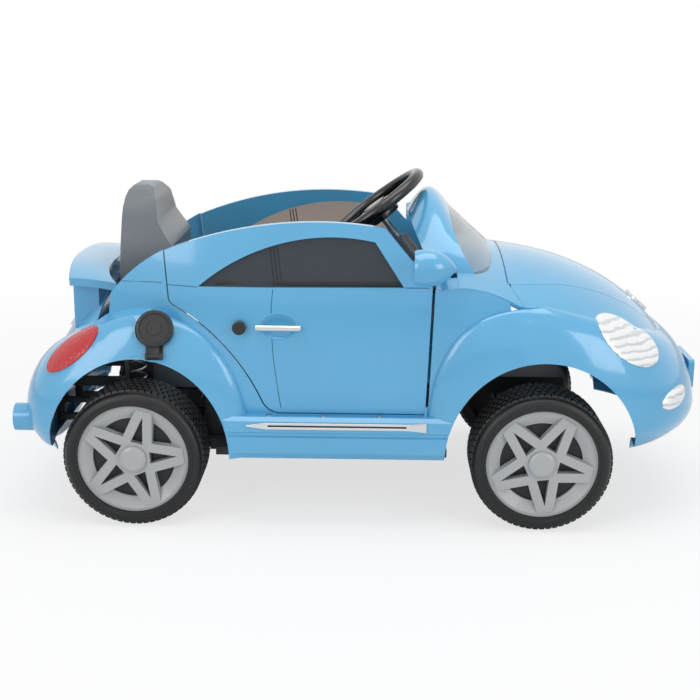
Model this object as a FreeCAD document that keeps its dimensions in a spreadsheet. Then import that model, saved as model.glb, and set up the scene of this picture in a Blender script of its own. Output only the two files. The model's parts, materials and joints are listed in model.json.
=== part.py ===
import FreeCAD, Part
import Sketcher
import math
import os
import re
from types import SimpleNamespace
from FreeCAD import Placement, Rotation, Vector

# Electric ride-on car, all lengths in millimetres, angles in degrees.
# +X points to the nose, +Y to the car's left, +Z up, the ground is Z = 0.
SIZES = {
    # wheels and axles
    "wheel_radius": 115, "wheel_width": 98, "half_track": 219,
    "front_axle_x": 290, "rear_axle_x": -370, "rear_arch_x": -362,
    "axle_radius": 6, "running_clearance": 0.06,
    "tyre_shoulder": 12, "rim_radius": 90, "rim_recess": 20, "rim_seat_clearance": 0.2,
    "rim_thickness": 14, "dish_depth": 9, "dish_radius": 68, "web_thickness": 8, "drum_radius": 97,
    "star_crotch": 41, "star_tip": 84, "slit_tip": 72, "slit_heel": 29, "kite_radius": 67,
    "hub_radius": 24, "hub_length": 64, "hub_cap_radius": 22, "hub_cap_height": 7,
    "nut_radius": 10, "nut_height": 6,
    # shells
    "wall": 4, "bonnet_wall": 3, "seat_gap": 0.4, "seam_gap": 0.6, "bonnet_gap": 1.2, "door_gap": 2.2,
    "flange_gap": 0.3, "lip_gap": 0.2,
    # bonnet dome
    "dome_x": 180, "dome_z": 150, "dome_length": 380, "dome_height": 280, "dome_power": 2.1,
    "dome_half_width": 390, "cowl_half_width": 520,
    "bonnet_rear_x": 232, "bonnet_rear_half": 192, "bonnet_front_half": 90,
    "bonnet_bend_x": 470, "bonnet_tip_x": 509,
    # front wings and bumper
    "nose_length": 287, "fender_half": 272, "nose_power": 2.4, "belly_z": 176,
    "front_crease_radius": 222, "nose_drop": 100, "bumper_bottom": 116,
    "front_arch_length": 157, "front_arch_height": 168, "front_crease_length": 186,
    "front_crease_power": 2.8, "lip_half": 264,
    "plate_width": 110, "plate_height": 50, "plate_depth": 10, "plate_top": 237,
    # rear dome, wings and bumper
    "rear_dome_x": -350, "rear_dome_z": 150, "rear_dome_length": 212, "rear_dome_height": 248,
    "rear_dome_power": 1.7, "rear_dome_half_width": 395,
    "tail_length": 207, "tail_power": 4.4, "tail_crease_radius": 186, "rear_crease_radius": 228,
    "tail_drop": 127,
    "tail_bottom": 106, "rear_arch_length": 148, "rear_arch_height": 167,
    "rear_crease_length": 180, "rear_crease_power": 2.3,
    # flanks, sills and doors
    "flank_half": 246, "flank_mid_z": 280, "flank_reach": 217, "flank_lean": 24,
    "flank_taper_x": -120, "flank_taper_run": 200, "flank_taper": 18,
    "sill_bottom": 117, "sill_top": 188, "sill_half": 264, "sill_flange_half": 188,
    "belt_z": 398, "door_thickness": 14, "door_front_x": 105, "door_bottom": 191,
    "window_depth": 5, "window_thickness": 3,
    "hinge_x": 103, "hinge_half": 240, "hinge_pin_radius": 4, "hinge_depth": 24, "door_swing_gap": 2.4,
    # chassis
    "floor_bottom": 104, "floor_half": 203, "tub_front": 140, "tub_rear": -268, "toe_top": 262,
    "seat_box_front": -150, "seat_box_half": 140, "seat_box_top": 195, "plate_wall": 8,
    "shelf_rear": -420, "shelf_half": 100, "rail_rear": -540, "rail_half": 74, "rail_width": 14,
    "ladder_bottom": 120, "ladder_middle": 152,
    "spine_front": 350, "spine_half": 60, "spine_bottom": 175, "spine_top": 205,
    # rear swing arm
    "pivot_x": -254, "pivot_z": 92, "pivot_radius": 6, "lug_half": 106, "lug_width": 12, "lug_radius": 12,
    "arm_half": 93, "arm_thickness": 6, "arm_barrel": 11, "upright_half": 90, "upright_width": 10, "upright_reach": 34,
    "gearbox_radius": 46, "gearbox_inner": 100, "gearbox_outer": 166, "motor_radius": 18, "motor_length": 58,
    "motor_x": -318, "motor_z": 132, "gear_nose_radius": 26, "gear_nose_length": 30,
    "spring_x": -378, "spring_half": 147, "spring_radius": 12, "spring_wire": 2.2, "spring_turns": 7,
    "spring_base": 166, "spring_top": 296, "spring_pad": 16, "bracket_half": 124, "bracket_wall": 6, "bracket_reach": 20,
    # front axle and steering
    "kingpin_half": 150, "kingpin_head": 10, "kingpin_head_height": 6, "beam_width": 16, "beam_bottom": 150, "boss_radius": 15,
    "arm_length": 38, "arm_bar": 10, "arm_z": 112, "arm_height": 8, "tie_pin_radius": 4,
    "tie_rod_z": 124, "tie_rod_thickness": 5, "tie_rod_width": 20, "tie_slot_play": 1.2,
    "wheel_hub_x": 16, "wheel_hub_z": 494, "shaft_end_x": 272, "shaft_end_z": 153, "shaft_radius": 6,
    "crank_radius": 24, "crank_pin": 4, "crank_pin_length": 22, "spoke_radius": 6, "steer_ring": 92, "steer_tube": 10, "steer_hub": 30,
    "steer_hub_depth": 26, "horn_radius": 21, "horn_height": 9, "horn_travel": 3, "column_radius": 18, "column_start": 70,
    "column_length": 78,
    # cabin
    "seat_half": 118, "seat_thickness": 28, "seat_back_top": 534, "seat_wall": 5,
    "dash_half": 196, "dash_wall": 8, "dash_top": 388, "dash_face_x": 62, "dash_drop": 70,
    "control_z": 342, "dash_leg": 60, "button_radius": 9, "button_length": 22, "button_half": 110,
    "pedal_width": 56, "pedal_length": 92, "pedal_thickness": 8, "pedal_y": -70, "pedal_x": 74, "pedal_lift": 10,
    "pedal_barrel": 6, "pedal_pin": 4, "pedal_lug": 8, "pedal_lean": 20,
    "lever_length": 52, "lever_y": -60, "lever_radius": 5, "lever_x": 84, "lever_knob": 9, "lever_knob_length": 18, "lever_pin": 3,
    # glass and trims
    "hoop_base": 384, "hoop_half": 189, "hoop_rear_rise": 106, "hoop_front_rise": 114, "hoop_crown": 34,
    "hoop_rear_x": 126, "hoop_rear_rake": 0.505, "hoop_front_x": 198, "hoop_front_rake": 0.736, "hoop_bow": 29,
    "hoop_wall": 5, "pane_thickness": 3, "pane_foot_x": 222, "pane_foot_sweep": 38, "stalk_radius": 8,
    "lens_proud": 2.5, "lens_depth": 3, "lens_gap": 0.3, "dome_lens_radius": 140, "lens_apex": 6, "lamp_depth": 30, "lamp_wall": 3,
    "mirror_x": 112, "mirror_half": 282, "mirror_z": 437, "mirror_length": 34, "mirror_height": 29,
    "mirror_glass": 2,
    "trim_front": 104, "trim_rear": -186, "trim_z": 174, "trim_height": 8, "trim_proud": 3,
    "screw_radius": 4, "screw_height": 2, "badge_radius": 24, "badge_proud": 5,
    "handle_x": -134, "handle_z": 333, "handle_length": 72, "handle_radius": 5, "handle_reach": 14,
    "knob_x": -196, "knob_z": 332, "knob_radius": 11, "knob_height": 11, "knob_stem": 4,
    "knob_gap": 1.4, "knob_back_gap": 3,
    "port_x": -329, "port_z": 326, "port_tilt": 22, "port_radius": 22, "port_bore": 12, "port_depth": 26,
    "cap_radius": 30, "cap_height": 9, "cap_lift": 4, "strap_width": 18, "strap_reach": 44,
    "pipe_radius": 23, "pipe_wall": 3, "pipe_half": 190, "pipe_z": 162, "pipe_end": -577, "pipe_length": 46,
    # electrics
    "battery_length": 98, "battery_width": 151, "battery_height": 62, "box_length": 90, "box_width": 80,
    "box_height": 32, "box_y": 66, "box_z": 165,
    # spoiler
    "spoiler_half": 172, "spoiler_thickness": 14, "spoiler_front": -404, "spoiler_rear": -500,
    "spoiler_z": 410, "spoiler_droop": 16, "spoiler_notch": 30,
}

doc = FreeCAD.newDocument("ride_on_car")
sheet = doc.addObject("Spreadsheet::Sheet", "sizes")
for row, (alias, number) in enumerate(SIZES.items(), start=1):
    sheet.set(f"A{row}", alias)
    sheet.set(f"B{row}", str(number))
    sheet.setAlias(f"B{row}", alias)
doc.recompute()
size = SimpleNamespace(**{alias: float(sheet.get(alias)) for alias in SIZES})

SIDES = {"right": -1, "left": 1}
parts = []


def formula(text):
    """Turn an expression over size names into one over the sheet's cells."""
    return re.sub(r"[a-z][a-z0-9_]*", lambda m: f"sizes.{m[0]}" if m[0] in SIZES else m[0], str(text))


def number(text):
    """Value of an expression over size names."""
    cell = doc.getObject("probe") or doc.addObject("App::FeaturePython", "probe")
    if not hasattr(cell, "value"):
        cell.addProperty("App::PropertyFloat", "value")
    cell.setExpression("value", formula(text))
    cell.recompute()
    return cell.value


def keep(obj, label):
    """Make an object one of the exported sub-parts."""
    obj.Label = label
    parts.append(obj)
    return obj


def bind(obj, **lengths):
    for name, text in lengths.items():
        obj.setExpression(name, formula(text))
    return obj


def box(x0, x1, y0, y1, z0, z1):
    """Box between two corners, each given as an expression over the sizes."""
    obj = doc.addObject("Part::Box", "box")
    bind(obj, Length=f"({x1}) - ({x0})", Width=f"({y1}) - ({y0})", Height=f"({z1}) - ({z0})")
    for axis, text in zip("xyz", (x0, y0, z0)):
        obj.setExpression(f"Placement.Base.{axis}", formula(text))
    return obj


def turn_to(direction):
    return Rotation(Vector(0, 0, 1), Vector(*direction))


def cylinder(radius, height, base, direction=(0, 0, 1)):
    obj = doc.addObject("Part::Cylinder", "cylinder")
    bind(obj, Radius=radius, Height=height)
    obj.Placement = Placement(Vector(*base), turn_to(direction))
    return obj


def solid(shape):
    """Wrap a shape that no primitive or sketch describes."""
    obj = doc.addObject("Part::Feature", "form")
    obj.Shape = shape
    return obj


def fuse(*objects):
    obj = doc.addObject("Part::MultiFuse", "union")
    obj.Shapes = list(objects)
    obj.Refine = True
    return obj


def cut(base, *tools):
    obj = doc.addObject("Part::Cut", "difference")
    obj.Base = base
    obj.Tool = tools[0] if len(tools) == 1 else fuse(*tools)
    obj.Refine = True
    return obj


def common(*objects):
    obj = doc.addObject("Part::MultiCommon", "overlap")
    obj.Shapes = list(objects)
    obj.Refine = True
    return obj


def group(*objects):
    obj = doc.addObject("Part::Compound", "pieces")
    obj.Links = list(objects)
    return obj


def mirrored(obj):
    """Copy of an object on the other side of the car."""
    twin = doc.addObject("Part::Mirroring", "twin")
    twin.Source = obj
    twin.Normal = Vector(0, 1, 0)
    return twin


def outline(body, plane, points):
    """Closed sketch through points whose coordinates are expressions over the sizes."""
    sketch = body.newObject("Sketcher::SketchObject", "outline")
    support = [f for f in body.Origin.OriginFeatures if f.Role == plane][0]
    sketch.AttachmentSupport = (support, [""])
    sketch.MapMode = "FlatFace"
    places = [Vector(number(u), number(v), 0) for u, v in points]
    count = len(places)
    for i in range(count):
        sketch.addGeometry(Part.LineSegment(places[i], places[(i + 1) % count]))
    for i in range(count):
        sketch.addConstraint(Sketcher.Constraint("Coincident", i, 2, (i + 1) % count, 1))
    for i, (u, v) in enumerate(points):
        for kind, text, value in (("DistanceX", u, places[i].x), ("DistanceY", v, places[i].y)):
            index = sketch.addConstraint(Sketcher.Constraint(kind, -1, 1, i, 1, value))
            sketch.setExpression(f"Constraints[{index}]", formula(text))
    return sketch


def revolved(points):
    """Body turned about the Y axis from (y, radius) points."""
    body = doc.addObject("PartDesign::Body", "turned")
    sketch = outline(body, "YZ_Plane", points)
    feature = body.newObject("PartDesign::Revolution", "turn")
    feature.Profile = sketch
    feature.ReferenceAxis = (sketch, ["H_Axis"])
    feature.Angle = 360
    return body


def padded(plane, points, length):
    """Body padded from a sketch, half the length to each side of its plane."""
    body = doc.addObject("PartDesign::Body", "padded")
    sketch = outline(body, plane, points)
    feature = body.newObject("PartDesign::Pad", "pad")
    feature.Profile = sketch
    feature.Midplane = True
    feature.setExpression("Length", formula(length))
    return body


def spread(start, stop, count):
    return [start + (stop - start) * i / (count - 1) for i in range(count)]


def ease(value):
    value = min(1.0, max(0.0, value))
    return value * value * (3 - 2 * value)


def sheet_solid(point, us, vs, outer, inner, centre):
    """Solid between two offsets of the surface point(u, v), measured in from its face towards centre."""
    nudge = 1e-4

    def offset(depth):
        rows = []
        for u in us:
            rows.append([])
            for v in vs:
                place = point(u, v)
                along = point(u + nudge, v) - point(u - nudge, v)
                across = point(u, v + nudge) - point(u, v - nudge)
                normal = along.cross(across).normalize()
                if normal.dot(centre - place) < 0:
                    normal = -normal
                rows[-1].append(place + normal * depth)
        surface = Part.BSplineSurface()
        surface.interpolate(rows)
        return surface

    skins = [offset(outer), offset(inner)]
    faces = [skin.toShape() for skin in skins]
    u0, u1, v0, v1 = skins[0].bounds()
    low, high = skins
    b0, b1, c0, c1 = high.bounds()
    pairs = [(low.uIso(u0), high.uIso(b0)), (low.uIso(u1), high.uIso(b1)),
             (low.vIso(v0), high.vIso(c0)), (low.vIso(v1), high.vIso(c1))]
    faces += [Part.makeRuledSurface(a.toShape(), b.toShape()) for a, b in pairs]
    shell = Part.makeShell(faces)
    shell.sewShape()
    block = Part.makeSolid(shell)
    if block.Volume < 0:
        block.reverse()
    return block


def path(start, steps, plane="XZ"):
    """Closed wire from straight steps (end) and curved steps (via, end) in a plane."""
    def lift(p):
        return Vector(p[0], 0, p[1]) if plane == "XZ" else Vector(p[0], p[1], 0)
    edges = []
    here = start
    for step in steps:
        if isinstance(step[0], tuple):
            *vias, end = step
            if len(vias) == 1:
                edges.append(Part.Arc(lift(here), lift(vias[0]), lift(end)).toShape())
            else:
                curve = Part.BSplineCurve()
                curve.interpolate([lift(p) for p in (here, *step)])
                edges.append(curve.toShape())
        else:
            end = step
            edges.append(Part.LineSegment(lift(here), lift(end)).toShape())
        here = end
    return Part.Wire(edges)


def side_prism(wire, y0, y1, grow=0.0):
    """Block whose side view is the wire, grown by a margin."""
    face = Part.Face(wire)
    if grow:
        face = Part.Face(face.makeOffset2D(grow).Wires[0])
    face.translate(Vector(0, y0, 0))
    return face.extrude(Vector(0, y1 - y0, 0))


def plan_prism(wire, z0, z1, grow=0.0):
    face = Part.Face(wire)
    if grow:
        face = Part.Face(face.makeOffset2D(grow).Wires[0])
    face.translate(Vector(0, 0, z0))
    return face.extrude(Vector(0, 0, z1 - z0))


def flip(shape):
    return shape.mirror(Vector(0, 0, 0), Vector(0, 1, 0))


def both(shape):
    return [shape, flip(shape)]


def block(x0, x1, y0, y1, z0, z1):
    return Part.makeBox(x1 - x0, y1 - y0, z1 - z0, Vector(x0, y0, z0))


# Surfaces of the body, each a function of two parameters.
def flank(x, z):
    """Half width of the car's side at a place of its side view."""
    lean = size.flank_lean * ((z - size.flank_mid_z) / size.flank_reach) ** 2
    run = max(0.0, (size.flank_taper_x - x) / size.flank_taper_run)
    return size.flank_half - lean - size.flank_taper * run * run


def flank_point(x, z):
    return Vector(x, -flank(x, z), z)


def dome_z(x, y):
    blend = ease((size.dome_x + 90 - x) / 120)
    half = size.dome_half_width + (size.cowl_half_width - size.dome_half_width) * blend
    crown = math.sqrt(1 - (y / half) ** 2)
    share = min(0.999, abs(x - size.dome_x) / (size.dome_length * crown))
    return size.dome_z + size.dome_height * crown * (1 - share ** size.dome_power) ** (1 / size.dome_power)


def dome_reach(x):
    """Half width of the sheet the bonnet and its flanks are cut from."""
    ahead = x - size.front_axle_x
    wide = size.flank_half - 6
    if ahead < 0:
        return size.front_crease_radius + 6 + (wide - size.front_crease_radius - 6) * ease(-ahead / 45)
    left = size.front_crease_radius ** 2 - ahead ** 2
    return max(size.bonnet_front_half + 6, math.sqrt(max(0.0, left)) + 6)


def dome_point(x, v):
    y = v * dome_reach(x)
    return Vector(x, y, dome_z(x, y))


def oval(angle, length, half, power):
    return (abs(math.cos(angle) / length) ** power + abs(math.sin(angle) / half) ** power) ** (-1 / power)


def rear_dome_z(x, y):
    crown = math.sqrt(1 - (y / size.rear_dome_half_width) ** 2)
    share = min(0.999, max(0.0, size.rear_dome_x - x) / (size.rear_dome_length * crown))
    power = size.rear_dome_power
    return size.rear_dome_z + size.rear_dome_height * crown * (1 - share ** power) ** (1 / power)


def rear_crease(angle):
    return size.tail_crease_radius + (size.rear_crease_radius - size.tail_crease_radius) * math.sin(angle) ** 6


def end_shell(front, angle, tilt):
    """Nose or tail with its wings. The plan angle starts at the car's end and grows to the right side,
    the tilt runs from below the belly line (negative) up to the crease under the dome (90 degrees)."""
    if front:
        origin, toward = size.front_axle_x, 1
        reach = oval(angle, size.nose_length, size.fender_half, size.nose_power)
        crease = size.front_crease_radius
        drop = size.nose_drop
    else:
        origin, toward = size.rear_arch_x, -1
        reach = oval(angle, size.tail_length, size.fender_half, size.tail_power)
        crease = rear_crease(angle)
        drop = size.tail_drop
    if tilt < 0:
        out = reach * math.cos(tilt)
        z = size.belly_z + drop * math.sin(tilt)
    else:
        top = (dome_z if front else rear_dome_z)(origin + toward * crease * math.cos(angle),
                                                 crease * math.sin(angle)) - 1.2
        bend = 2 / (1.6 + 0.6 * math.sin(angle) ** 2)
        out = crease + (reach - crease) * max(0.0, math.cos(tilt)) ** bend
        z = size.belly_z + (top - size.belly_z) * math.sin(tilt) ** bend
    return Vector(origin + toward * out * math.cos(angle), -out * math.sin(angle), z)


def deck_point(angle, radius):
    """Deck and tail over the plan, radius 1 on the crease of the rear wings."""
    out = radius * (rear_crease(angle) + 6)
    x = size.rear_arch_x - out * math.cos(angle)
    y = -out * math.sin(angle)
    return Vector(x, y, rear_dome_z(x, y))


RIGHT = math.pi / 2


def lip_tilt(front):
    """Tilt at which the top of a wing reaches its wheel arch."""
    lip = size.wheel_radius + (size.front_arch_height if front else size.rear_arch_height) - 4
    low, high = 0.0, RIGHT
    for _ in range(40):
        middle = (low + high) / 2
        if end_shell(front, RIGHT, middle).z < lip:
            low = middle
        else:
            high = middle
    return low


LIP_TILT = {front: lip_tilt(front) for front in (True, False)}


def wing_top(front):
    return end_shell(front, RIGHT, RIGHT).z - size.wheel_radius


def wing_point(front):
    """Half of a wing around its wheel, from the sill (0 degrees) to the top (90 degrees)."""
    centre_x = size.front_axle_x if front else size.rear_arch_x
    lip = (size.front_arch_length - 4, size.front_arch_height - 4) if front else (
        size.rear_arch_length - 4, size.rear_arch_height - 4)
    top = wing_top(front)
    crease = (size.front_crease_length, top, size.front_crease_power) if front else (
        size.rear_crease_length, top, size.rear_crease_power)
    toward = -1 if front else 1
    seat = size.seat_gap if front else -1.5
    lip_top = -end_shell(front, RIGHT, LIP_TILT[front]).y
    crease_top = -end_shell(front, RIGHT, RIGHT).y

    def place(angle, share):
        section = end_shell(front, RIGHT, LIP_TILT[front] + share * (RIGHT - LIP_TILT[front]))
        up = (section.z - size.wheel_radius - lip[1]) / (top - lip[1])
        bulge = (-section.y - crease_top) / (lip_top - crease_top)
        lip_radius = oval(angle, lip[0], lip[1], 2)
        crease_radius = oval(angle, *crease)
        radius = lip_radius + (crease_radius - lip_radius) * up
        edge_x = centre_x + toward * crease_radius * math.cos(angle)
        edge_z = size.wheel_radius + crease_radius * math.sin(angle)
        outer = size.lip_half + (lip_top - size.lip_half) * ease((math.degrees(angle) - 60) / 30)
        inner = flank(edge_x, edge_z) + seat
        inner += (crease_top - inner) * ease((math.degrees(angle) - 76) / 14)
        return Vector(centre_x + toward * radius * math.cos(angle), -(inner + (outer - inner) * bulge),
                      size.wheel_radius + radius * math.sin(angle))

    return place


def band(front, outer, inner):
    """One end of the car from sill to sill: both wings and the nose or the tail between them."""
    wing = wing_point(front)
    drop = size.nose_drop if front else size.tail_drop
    bottom = size.bumper_bottom if front else size.tail_bottom
    under = -math.asin((size.belly_z - bottom) / drop)
    start = 57 if front else 60
    joint = 0.56

    def place(across, share):
        reach = abs(across)
        if reach <= joint:
            angle = RIGHT * reach / joint
            low = under + (LIP_TILT[front] - under) * ease((math.degrees(angle) - start) / (90 - start))
            spot = end_shell(front, angle, low + share * (RIGHT - low))
        else:
            spot = wing(math.radians(90 - 94 * (reach - joint) / (1 - joint)), share)
        return spot if across >= 0 else Vector(spot.x, -spot.y, spot.z)

    inside = Vector(size.front_axle_x - 30 if front else size.rear_arch_x + 30, 0, size.wheel_radius)
    return sheet_solid(place, spread(-1, 1, 101), spread(0, 0.995, 15), outer, inner, inside)


def wing_crease(front, margin):
    """Side view of the line where a wing meets the flank, drawn in by a margin, from sill to top."""
    centre_x = size.front_axle_x if front else size.rear_arch_x
    top = wing_top(front) - margin
    length = (size.front_crease_length if front else size.rear_crease_length) - margin
    power = size.front_crease_power if front else size.rear_crease_power
    toward = -1 if front else 1
    places = []
    for angle in [math.radians(a) for a in spread(1, 77 if front else 89, 12)]:
        radius = oval(angle, length, top, power)
        places.append((centre_x + toward * radius * math.cos(angle), size.wheel_radius + radius * math.sin(angle)))
    return places


def arch_cutter(front):
    centre_x = size.front_axle_x if front else size.rear_arch_x
    length = size.front_arch_length if front else size.rear_arch_length
    height = size.front_arch_height if front else size.rear_arch_height
    centre = Vector(centre_x, 0, size.wheel_radius)
    ring = Part.Ellipse(centre + Vector(0, 0, height), centre + Vector(length, 0, 0), centre).toShape()
    opening = side_prism(Part.Wire([ring]), -320, -150)
    below = block(centre_x - length, centre_x + length, -320, -150, -10, size.wheel_radius)
    return opening.fuse(below)


# Side views of the door, its window and the flank panel.
door_top_x = size.door_front_x + 4
door_low_x = size.door_front_x - 4
belt = size.belt_z
door_wire = path((34, belt + 90), [
    (door_top_x, belt + 2), (door_low_x, size.door_bottom), (-135, size.door_bottom),
    ((-150, size.door_bottom + 6), (-160, size.door_bottom + 18)),
    ((-220, 301), (-300, 363)),
    ((-307, 368), (-310, 376)),
    (-317, belt + 51),
    ((-120, belt + 97), (34, belt + 90))])
window_wire = path((-262, belt - 4), [
    (64, belt - 1), (18, belt + 69), ((-150, belt + 60), (-262, belt - 4))])
front_edge = wing_crease(True, 8)
rear_edge = wing_crease(False, 8)
panel_wire = path((front_edge[0][0], size.sill_bottom), [
    front_edge[0], tuple(front_edge[1:]), (226, belt + 2), (-314, belt + 2), (-314, belt + 54),
    ((-365, belt + 22), (-408, belt - 22)), (-412, 330), rear_edge[-1],
    tuple(reversed(rear_edge[:-1])), (rear_edge[0][0], size.sill_bottom),
    (front_edge[0][0], size.sill_bottom)])
middle = Vector(-60, 0, 250)
door_opening = side_prism(door_wire, -320, -150, size.door_gap)
swing_room = door_opening.copy()
swing_room.translate(Vector(size.door_swing_gap, 0, 0))
door_opening = door_opening.fuse(swing_room)

under_bonnet = Vector(230, 0, 100)
dome_sheet = sheet_solid(dome_point, spread(120, 514, 36), spread(-1, 1, 31), 0, size.wall, under_bonnet)
above_dome = sheet_solid(dome_point, spread(90, 330, 21), spread(-1.02, 1.02, 21), -60, 2, under_bonnet)
cowl_wire = path((150, -262), [
    (264, -262), (size.bonnet_rear_x - 2, -size.bonnet_rear_half + 2),
    (size.bonnet_rear_x - 2, size.bonnet_rear_half - 2), (264, 262), (150, 262), (150, -262)], "XY")

# Main body: flanks with the door openings, sills, rear wings, tail and cowl.
flank_sheet = sheet_solid(flank_point, spread(-430, 262, 40), spread(100, 470, 22), 0, size.wall, middle)
panel = flank_sheet.common(side_prism(panel_wire, -320, -150)).cut(door_opening).cut(above_dome)
sill_inner = 228
sill_profile = [(sill_inner, size.sill_top), (size.sill_half - 6, size.sill_top), (size.sill_half, size.sill_top - 6),
                (size.sill_half, 164), (size.sill_half - 3, 162), (size.sill_half - 3, 157),
                (size.sill_half, 155), (size.sill_half - 2, 128), (size.sill_half - 10, size.sill_bottom),
                (size.sill_flange_half, size.sill_bottom), (size.sill_flange_half, size.sill_bottom + size.wall),
                (sill_inner, size.sill_bottom + size.wall)]
sill_face = Part.Face(Part.makePolygon([Vector(-222, -y, z) for y, z in sill_profile + sill_profile[:1]]))
sill = sill_face.extrude(Vector(366, 0, 0))
hinge_bore = Part.makeCylinder(size.hinge_pin_radius + size.running_clearance, size.hinge_depth + 20,
                               Vector(size.hinge_x, -size.hinge_half, size.sill_top - size.hinge_depth))
sill = sill.cut(arch_cutter(True)).cut(arch_cutter(False))

deck_sheet = sheet_solid(deck_point, [math.radians(a) for a in spread(-96, 96, 49)], spread(0.3, 1, 17), 0, size.wall,
                         Vector(-300, 0, 100))
cabin_rear = block(-432, -200, -200, 200, 200, 460)
deck_sheet = deck_sheet.cut(cabin_rear)
cowl = dome_sheet.common(plan_prism(cowl_wire, 200, 460))
rear_band = band(False, 0, size.wall)
pipes = [Part.makeCylinder(size.pipe_radius, size.pipe_length + 20,
                           Vector(size.pipe_end - 5, side * size.pipe_half, size.pipe_z), Vector(1, 0, 0))
         for side in (-1, 1)]


def oblique_prism(centre, direction, long_axis, half_long, half_short, near, far):
    """Oval block along a direction, its long axis as close as can be to the one given."""
    normal = Vector(*direction).normalize()
    major = Vector(*long_axis)
    major = (major - normal * major.dot(normal)).normalize()
    minor = normal.cross(major)
    ring = Part.Ellipse(centre + major * half_long, centre + minor * half_short, centre).toShape()
    ring.translate(normal * near)
    return Part.Face(Part.Wire([ring])).extrude(normal * (far - near))


def lamp_cutter(spec):
    centre, direction, long_axis, half_long, half_short = spec
    return oblique_prism(Vector(*centre), direction, long_axis, half_long, half_short, -60, 60)


TAIL_LAMP = ((-466, -236, 291), (-0.45, -0.82, 0.36), (0.76, 0, 0.64), 54, 25)
HEAD_LAMP = ((418, -196, 304), (0.52, -0.72, 0.46), (0.72, 0.3, -0.6), 58, 33)
FOG_LAMP = ((503, -178, 209), (0.72, -0.68, 0.12), (0.66, 0.7, 0.2), 31, 12)

port_normal = Vector(0, -math.cos(math.radians(size.port_tilt)), math.sin(math.radians(size.port_tilt)))
port_y = wing_point(False)(math.atan2(size.port_z - size.wheel_radius, size.port_x - size.rear_arch_x), 0.6).y
port_seat = Vector(size.port_x, port_y, size.port_z) + port_normal * 3


def port_frame(shape):
    """Set a shape drawn along +Z on the port, its +X towards the car's front."""
    across = Vector(1, 0, 0)
    up = port_normal.cross(across)
    placed = shape.copy()
    placed.Placement = Placement(port_seat, Rotation(across, up, port_normal, "ZXY"))
    return placed


strap_end = size.strap_reach
ear_gap = size.strap_width / 2 + size.seat_gap
port_boss = Part.makeCylinder(size.cap_radius - 1, 16, port_seat - port_normal * 16, port_normal)
port_plate = port_frame(block(-ear_gap - 7, ear_gap + 7, -strap_end - 8, 0, -size.wall, 0))
port_hole = Part.makeCylinder(size.port_radius + size.seat_gap, 60, port_seat - port_normal * 40, port_normal)
port_pocket = [port_frame(block(-ear_gap - 5, ear_gap + 5, -strap_end - 6, 0, 0, 40)),
               port_frame(Part.makeCylinder(size.cap_radius + 2, 40))]

cowl_lip = sheet_solid(dome_point, spread(212, 257, 8), spread(-1, 1, 31), size.wall + size.lip_gap, size.wall + 4,
                       under_bonnet)
main_body = panel.fuse([sill, flip(panel), flip(sill), rear_band, deck_sheet, cowl, cowl_lip, port_boss, port_plate])
arches = both(arch_cutter(True)) + both(arch_cutter(False))
main_body = main_body.cut(arches + pipes + both(lamp_cutter(TAIL_LAMP)) + [port_hole] + port_pocket
                          + both(hinge_bore))
skirt = block(-330, 330, -320, 320, -50, size.sill_bottom)
main_body = main_body.cut(skirt)

# Front end: nose and wings, bonnet, bumper.
nose_band = band(True, 0, size.wall)


def bonnet_block(z0, z1, grow):
    """Block over the bonnet's plan view, grown by a margin."""
    rear_x = size.bonnet_rear_x - grow
    rear_half = size.bonnet_rear_half + grow
    bend_x = size.bonnet_bend_x + grow / 2
    front_half = size.bonnet_front_half + grow
    wire = path((rear_x, -rear_half), [(rear_x, rear_half), (bend_x, front_half),
                                       ((size.bonnet_tip_x + grow, 0), (bend_x, -front_half)),
                                       (rear_x, -rear_half)], "XY")
    return plan_prism(wire, z0, z1)


bonnet_opening = bonnet_block(200, 460, size.bonnet_gap)
seam = [(380, 176), (432, 199), (484, 233), (500, 238), (640, 240)]
below_seam = side_prism(path(seam[0], seam[1:] + [(640, 60), (380, 60), seam[0]]), -320, 320)
front_flank = dome_sheet.cut(bonnet_opening)
front_flank = front_flank.cut(block(100, 236, -300, 300, 100, 500))
front_flank = front_flank.cut(plan_prism(cowl_wire, 200, 460, size.seam_gap))
upper_nose = nose_band.cut(below_seam).cut(bonnet_opening)
flange_sheet = sheet_solid(dome_point, spread(205, 519, 30), spread(-1, 1, 31),
                           size.bonnet_wall + size.flange_gap, size.wall + 4, under_bonnet)
bonnet_flange = flange_sheet.common(bonnet_block(200, 460, 7))
bonnet_flange = bonnet_flange.cut(bonnet_block(100, 500, -14)).cut(block(100, 260, -300, 300, 100, 500))
front_body = upper_nose.fuse([front_flank, bonnet_flange])
front_body = front_body.cut(both(arch_cutter(True)) + both(lamp_cutter(HEAD_LAMP)) + both(hinge_bore))
front_body = front_body.cut(skirt).cut(main_body)
front_body = max(front_body.Solids, key=lambda s: s.Volume)
bonnet = sheet_solid(dome_point, spread(215, 516, 36), spread(-1, 1, 31), 0, size.bonnet_wall, under_bonnet)
bonnet = bonnet.common(bonnet_block(200, 460, 0))
bumper = nose_band.common(below_seam)
bumper = bumper.cut(both(arch_cutter(True)) + both(lamp_cutter(FOG_LAMP)))
bumper = max(bumper.Solids, key=lambda s: s.Volume)
plate_x = size.front_axle_x + size.nose_length
plate = block(plate_x - size.plate_depth, plate_x, -size.plate_width / 2, size.plate_width / 2,
              size.plate_top - size.plate_height, size.plate_top)
bumper = bumper.fuse(plate.makeFillet(6, [e for e in plate.Edges if abs(e.tangentAt(0).x) > 0.9]))
keep(solid(main_body), "main_body")
keep(solid(front_body), "front_body")
keep(solid(bonnet), "bonnet")
keep(solid(bumper), "front_bumper")

# Lamps and badges follow the shells they sit in.
def lens(front, spec):
    skin = band(front, -size.lens_proud, size.lens_depth)
    return skin.common(lamp_cutter(spec))


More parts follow.
